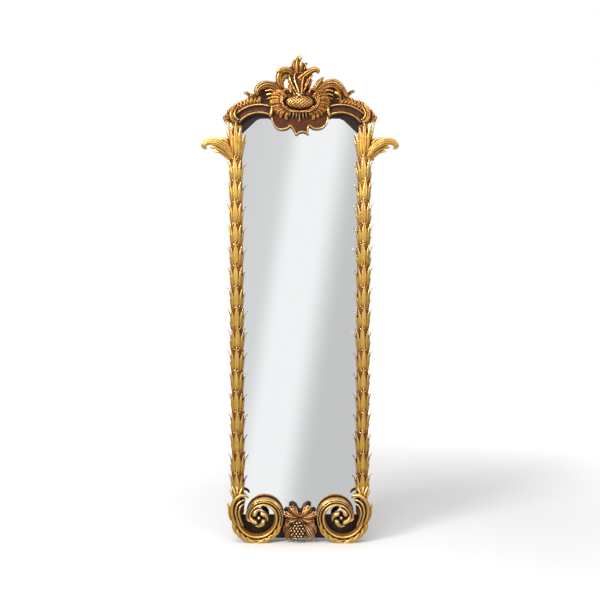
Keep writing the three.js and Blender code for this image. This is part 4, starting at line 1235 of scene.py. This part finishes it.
def reflected_card():
    """The studio that the plate shows: a white band that falls from the upper right to the lower left."""
    material, tree, shader, place = new_material("studio_card")
    apart = add(tree, "ShaderNodeSeparateXYZ", Vector=place)
    slope = calculate(tree, "MULTIPLY_ADD", apart.outputs["Z"], -0.16, apart.outputs["X"])
    band = spread(tree, slope, -0.75, 0.85, kind="SMOOTHSTEP")
    shade = ramp(tree, band, [(0.0, 0.70), (0.26, 0.74), (0.46, 1.0), (0.66, 1.0), (0.9, 0.62)], True)
    tree.links.new(shade, shader.inputs["Emission Color"])
    shader.inputs["Emission Strength"].default_value = 1.0
    shader.inputs["Base Color"].default_value = (0, 0, 0, 1)
    card = staged_plane("studio_card", [(-3, -5, -5), (3, -5, -5), (3, -5, 3), (-3, -5, 3)], material)
    card.visible_camera = False


def area_light(name, place, aim, size, energy):
    light = bpy.data.objects.new(name, bpy.data.lights.new(name, "AREA"))
    light.data.size = size
    light.data.energy = energy
    light.location = place
    light.rotation_euler = (Vector(aim) - Vector(place)).to_track_quat("-Z", "Y").to_euler()
    bpy.context.scene.collection.objects.link(light)


def studio_world():
    """White behind, and softer and darker round the sides, so that the leaf has contrast."""
    world = bpy.data.worlds.new("studio")
    bpy.context.scene.world = world
    world.use_nodes = True
    tree = world.node_tree
    white = tree.nodes["Background"]
    white.inputs["Color"].default_value = (1, 1, 1, 1)
    seen = add(tree, "ShaderNodeLightPath").outputs
    way = add(tree, "ShaderNodeSeparateXYZ", Vector=add(tree, "ShaderNodeTexCoord").outputs["Generated"])
    height = spread(tree, way.outputs["Z"], -0.6, 0.9)
    glow = ramp(tree, height, [(0.0, 0.48), (0.35, 0.30), (0.6, 0.42), (1.0, 1.15)], True)
    room = add(tree, "ShaderNodeBackground", Color=glow, Strength=0.9)
    even = add(tree, "ShaderNodeBackground", Color=(1, 1, 1, 1), Strength=0.62)

    def either(switch, plainly, otherwise):
        mixed = add(tree, "ShaderNodeMixShader")
        for socket, value in zip(mixed.inputs, (seen[switch], plainly.outputs[0], otherwise.outputs[0])):
            tree.links.new(value, socket)
        return mixed

    final = either("Is Camera Ray", either("Is Diffuse Ray", room, even), white)
    tree.links.new(final.outputs[0], tree.nodes["World Output"].inputs["Surface"])


def lit_floor(floor_z):
    """White floor paper. It glows evenly away from the mirror, so that the lamps' pool shows no edge."""
    white = plain("floor_paper", "#F2F2F2", 0.9)
    tree = white.node_tree
    shader = tree.nodes["Principled BSDF"]
    place = add(tree, "ShaderNodeTexCoord").outputs["Object"]
    centred = add(tree, "ShaderNodeVectorMath", {"operation": "DISTANCE"})
    tree.links.new(place, centred.inputs[0])
    centred.inputs[1].default_value = (0.3, 0.0, floor_z)
    away = spread(tree, centred.outputs["Value"], 0.5, 2.6, 0.02, 0.62, "SMOOTHSTEP")
    shader.inputs["Emission Color"].default_value = (1, 1, 1, 1)
    tree.links.new(away, shader.inputs["Emission Strength"])
    return white


def studio():
    floor_z = -HANG_HEIGHT / 1000
    white = lit_floor(floor_z)
    corners = [(x, y, floor_z) for x, y in ((-9, -2.5), (9, -2.5), (9, 12), (-9, 12))]
    floor = staged_plane("floor", corners, white)
    floor.visible_glossy = False
    studio_world()
    reflected_card()
    area_light("key", (-2.0, -1.9, 0.8), (0.2, 0, -0.9), 1.0, 72)
    area_light("top", (-0.4, -1.7, 1.5), (0, 0, -0.4), 1.0, 16)
    area_light("fill", (2.0, -2.2, 0.2), (0, 0, -0.7), 1.2, 14)
    bpy.context.scene.view_settings.view_transform = "Standard"


for stile_side in (-1, 1):
    palm_stile(stile_side)
    volute(stile_side)
vine_boss()
crest()
dress_frame_nodes()
studio()
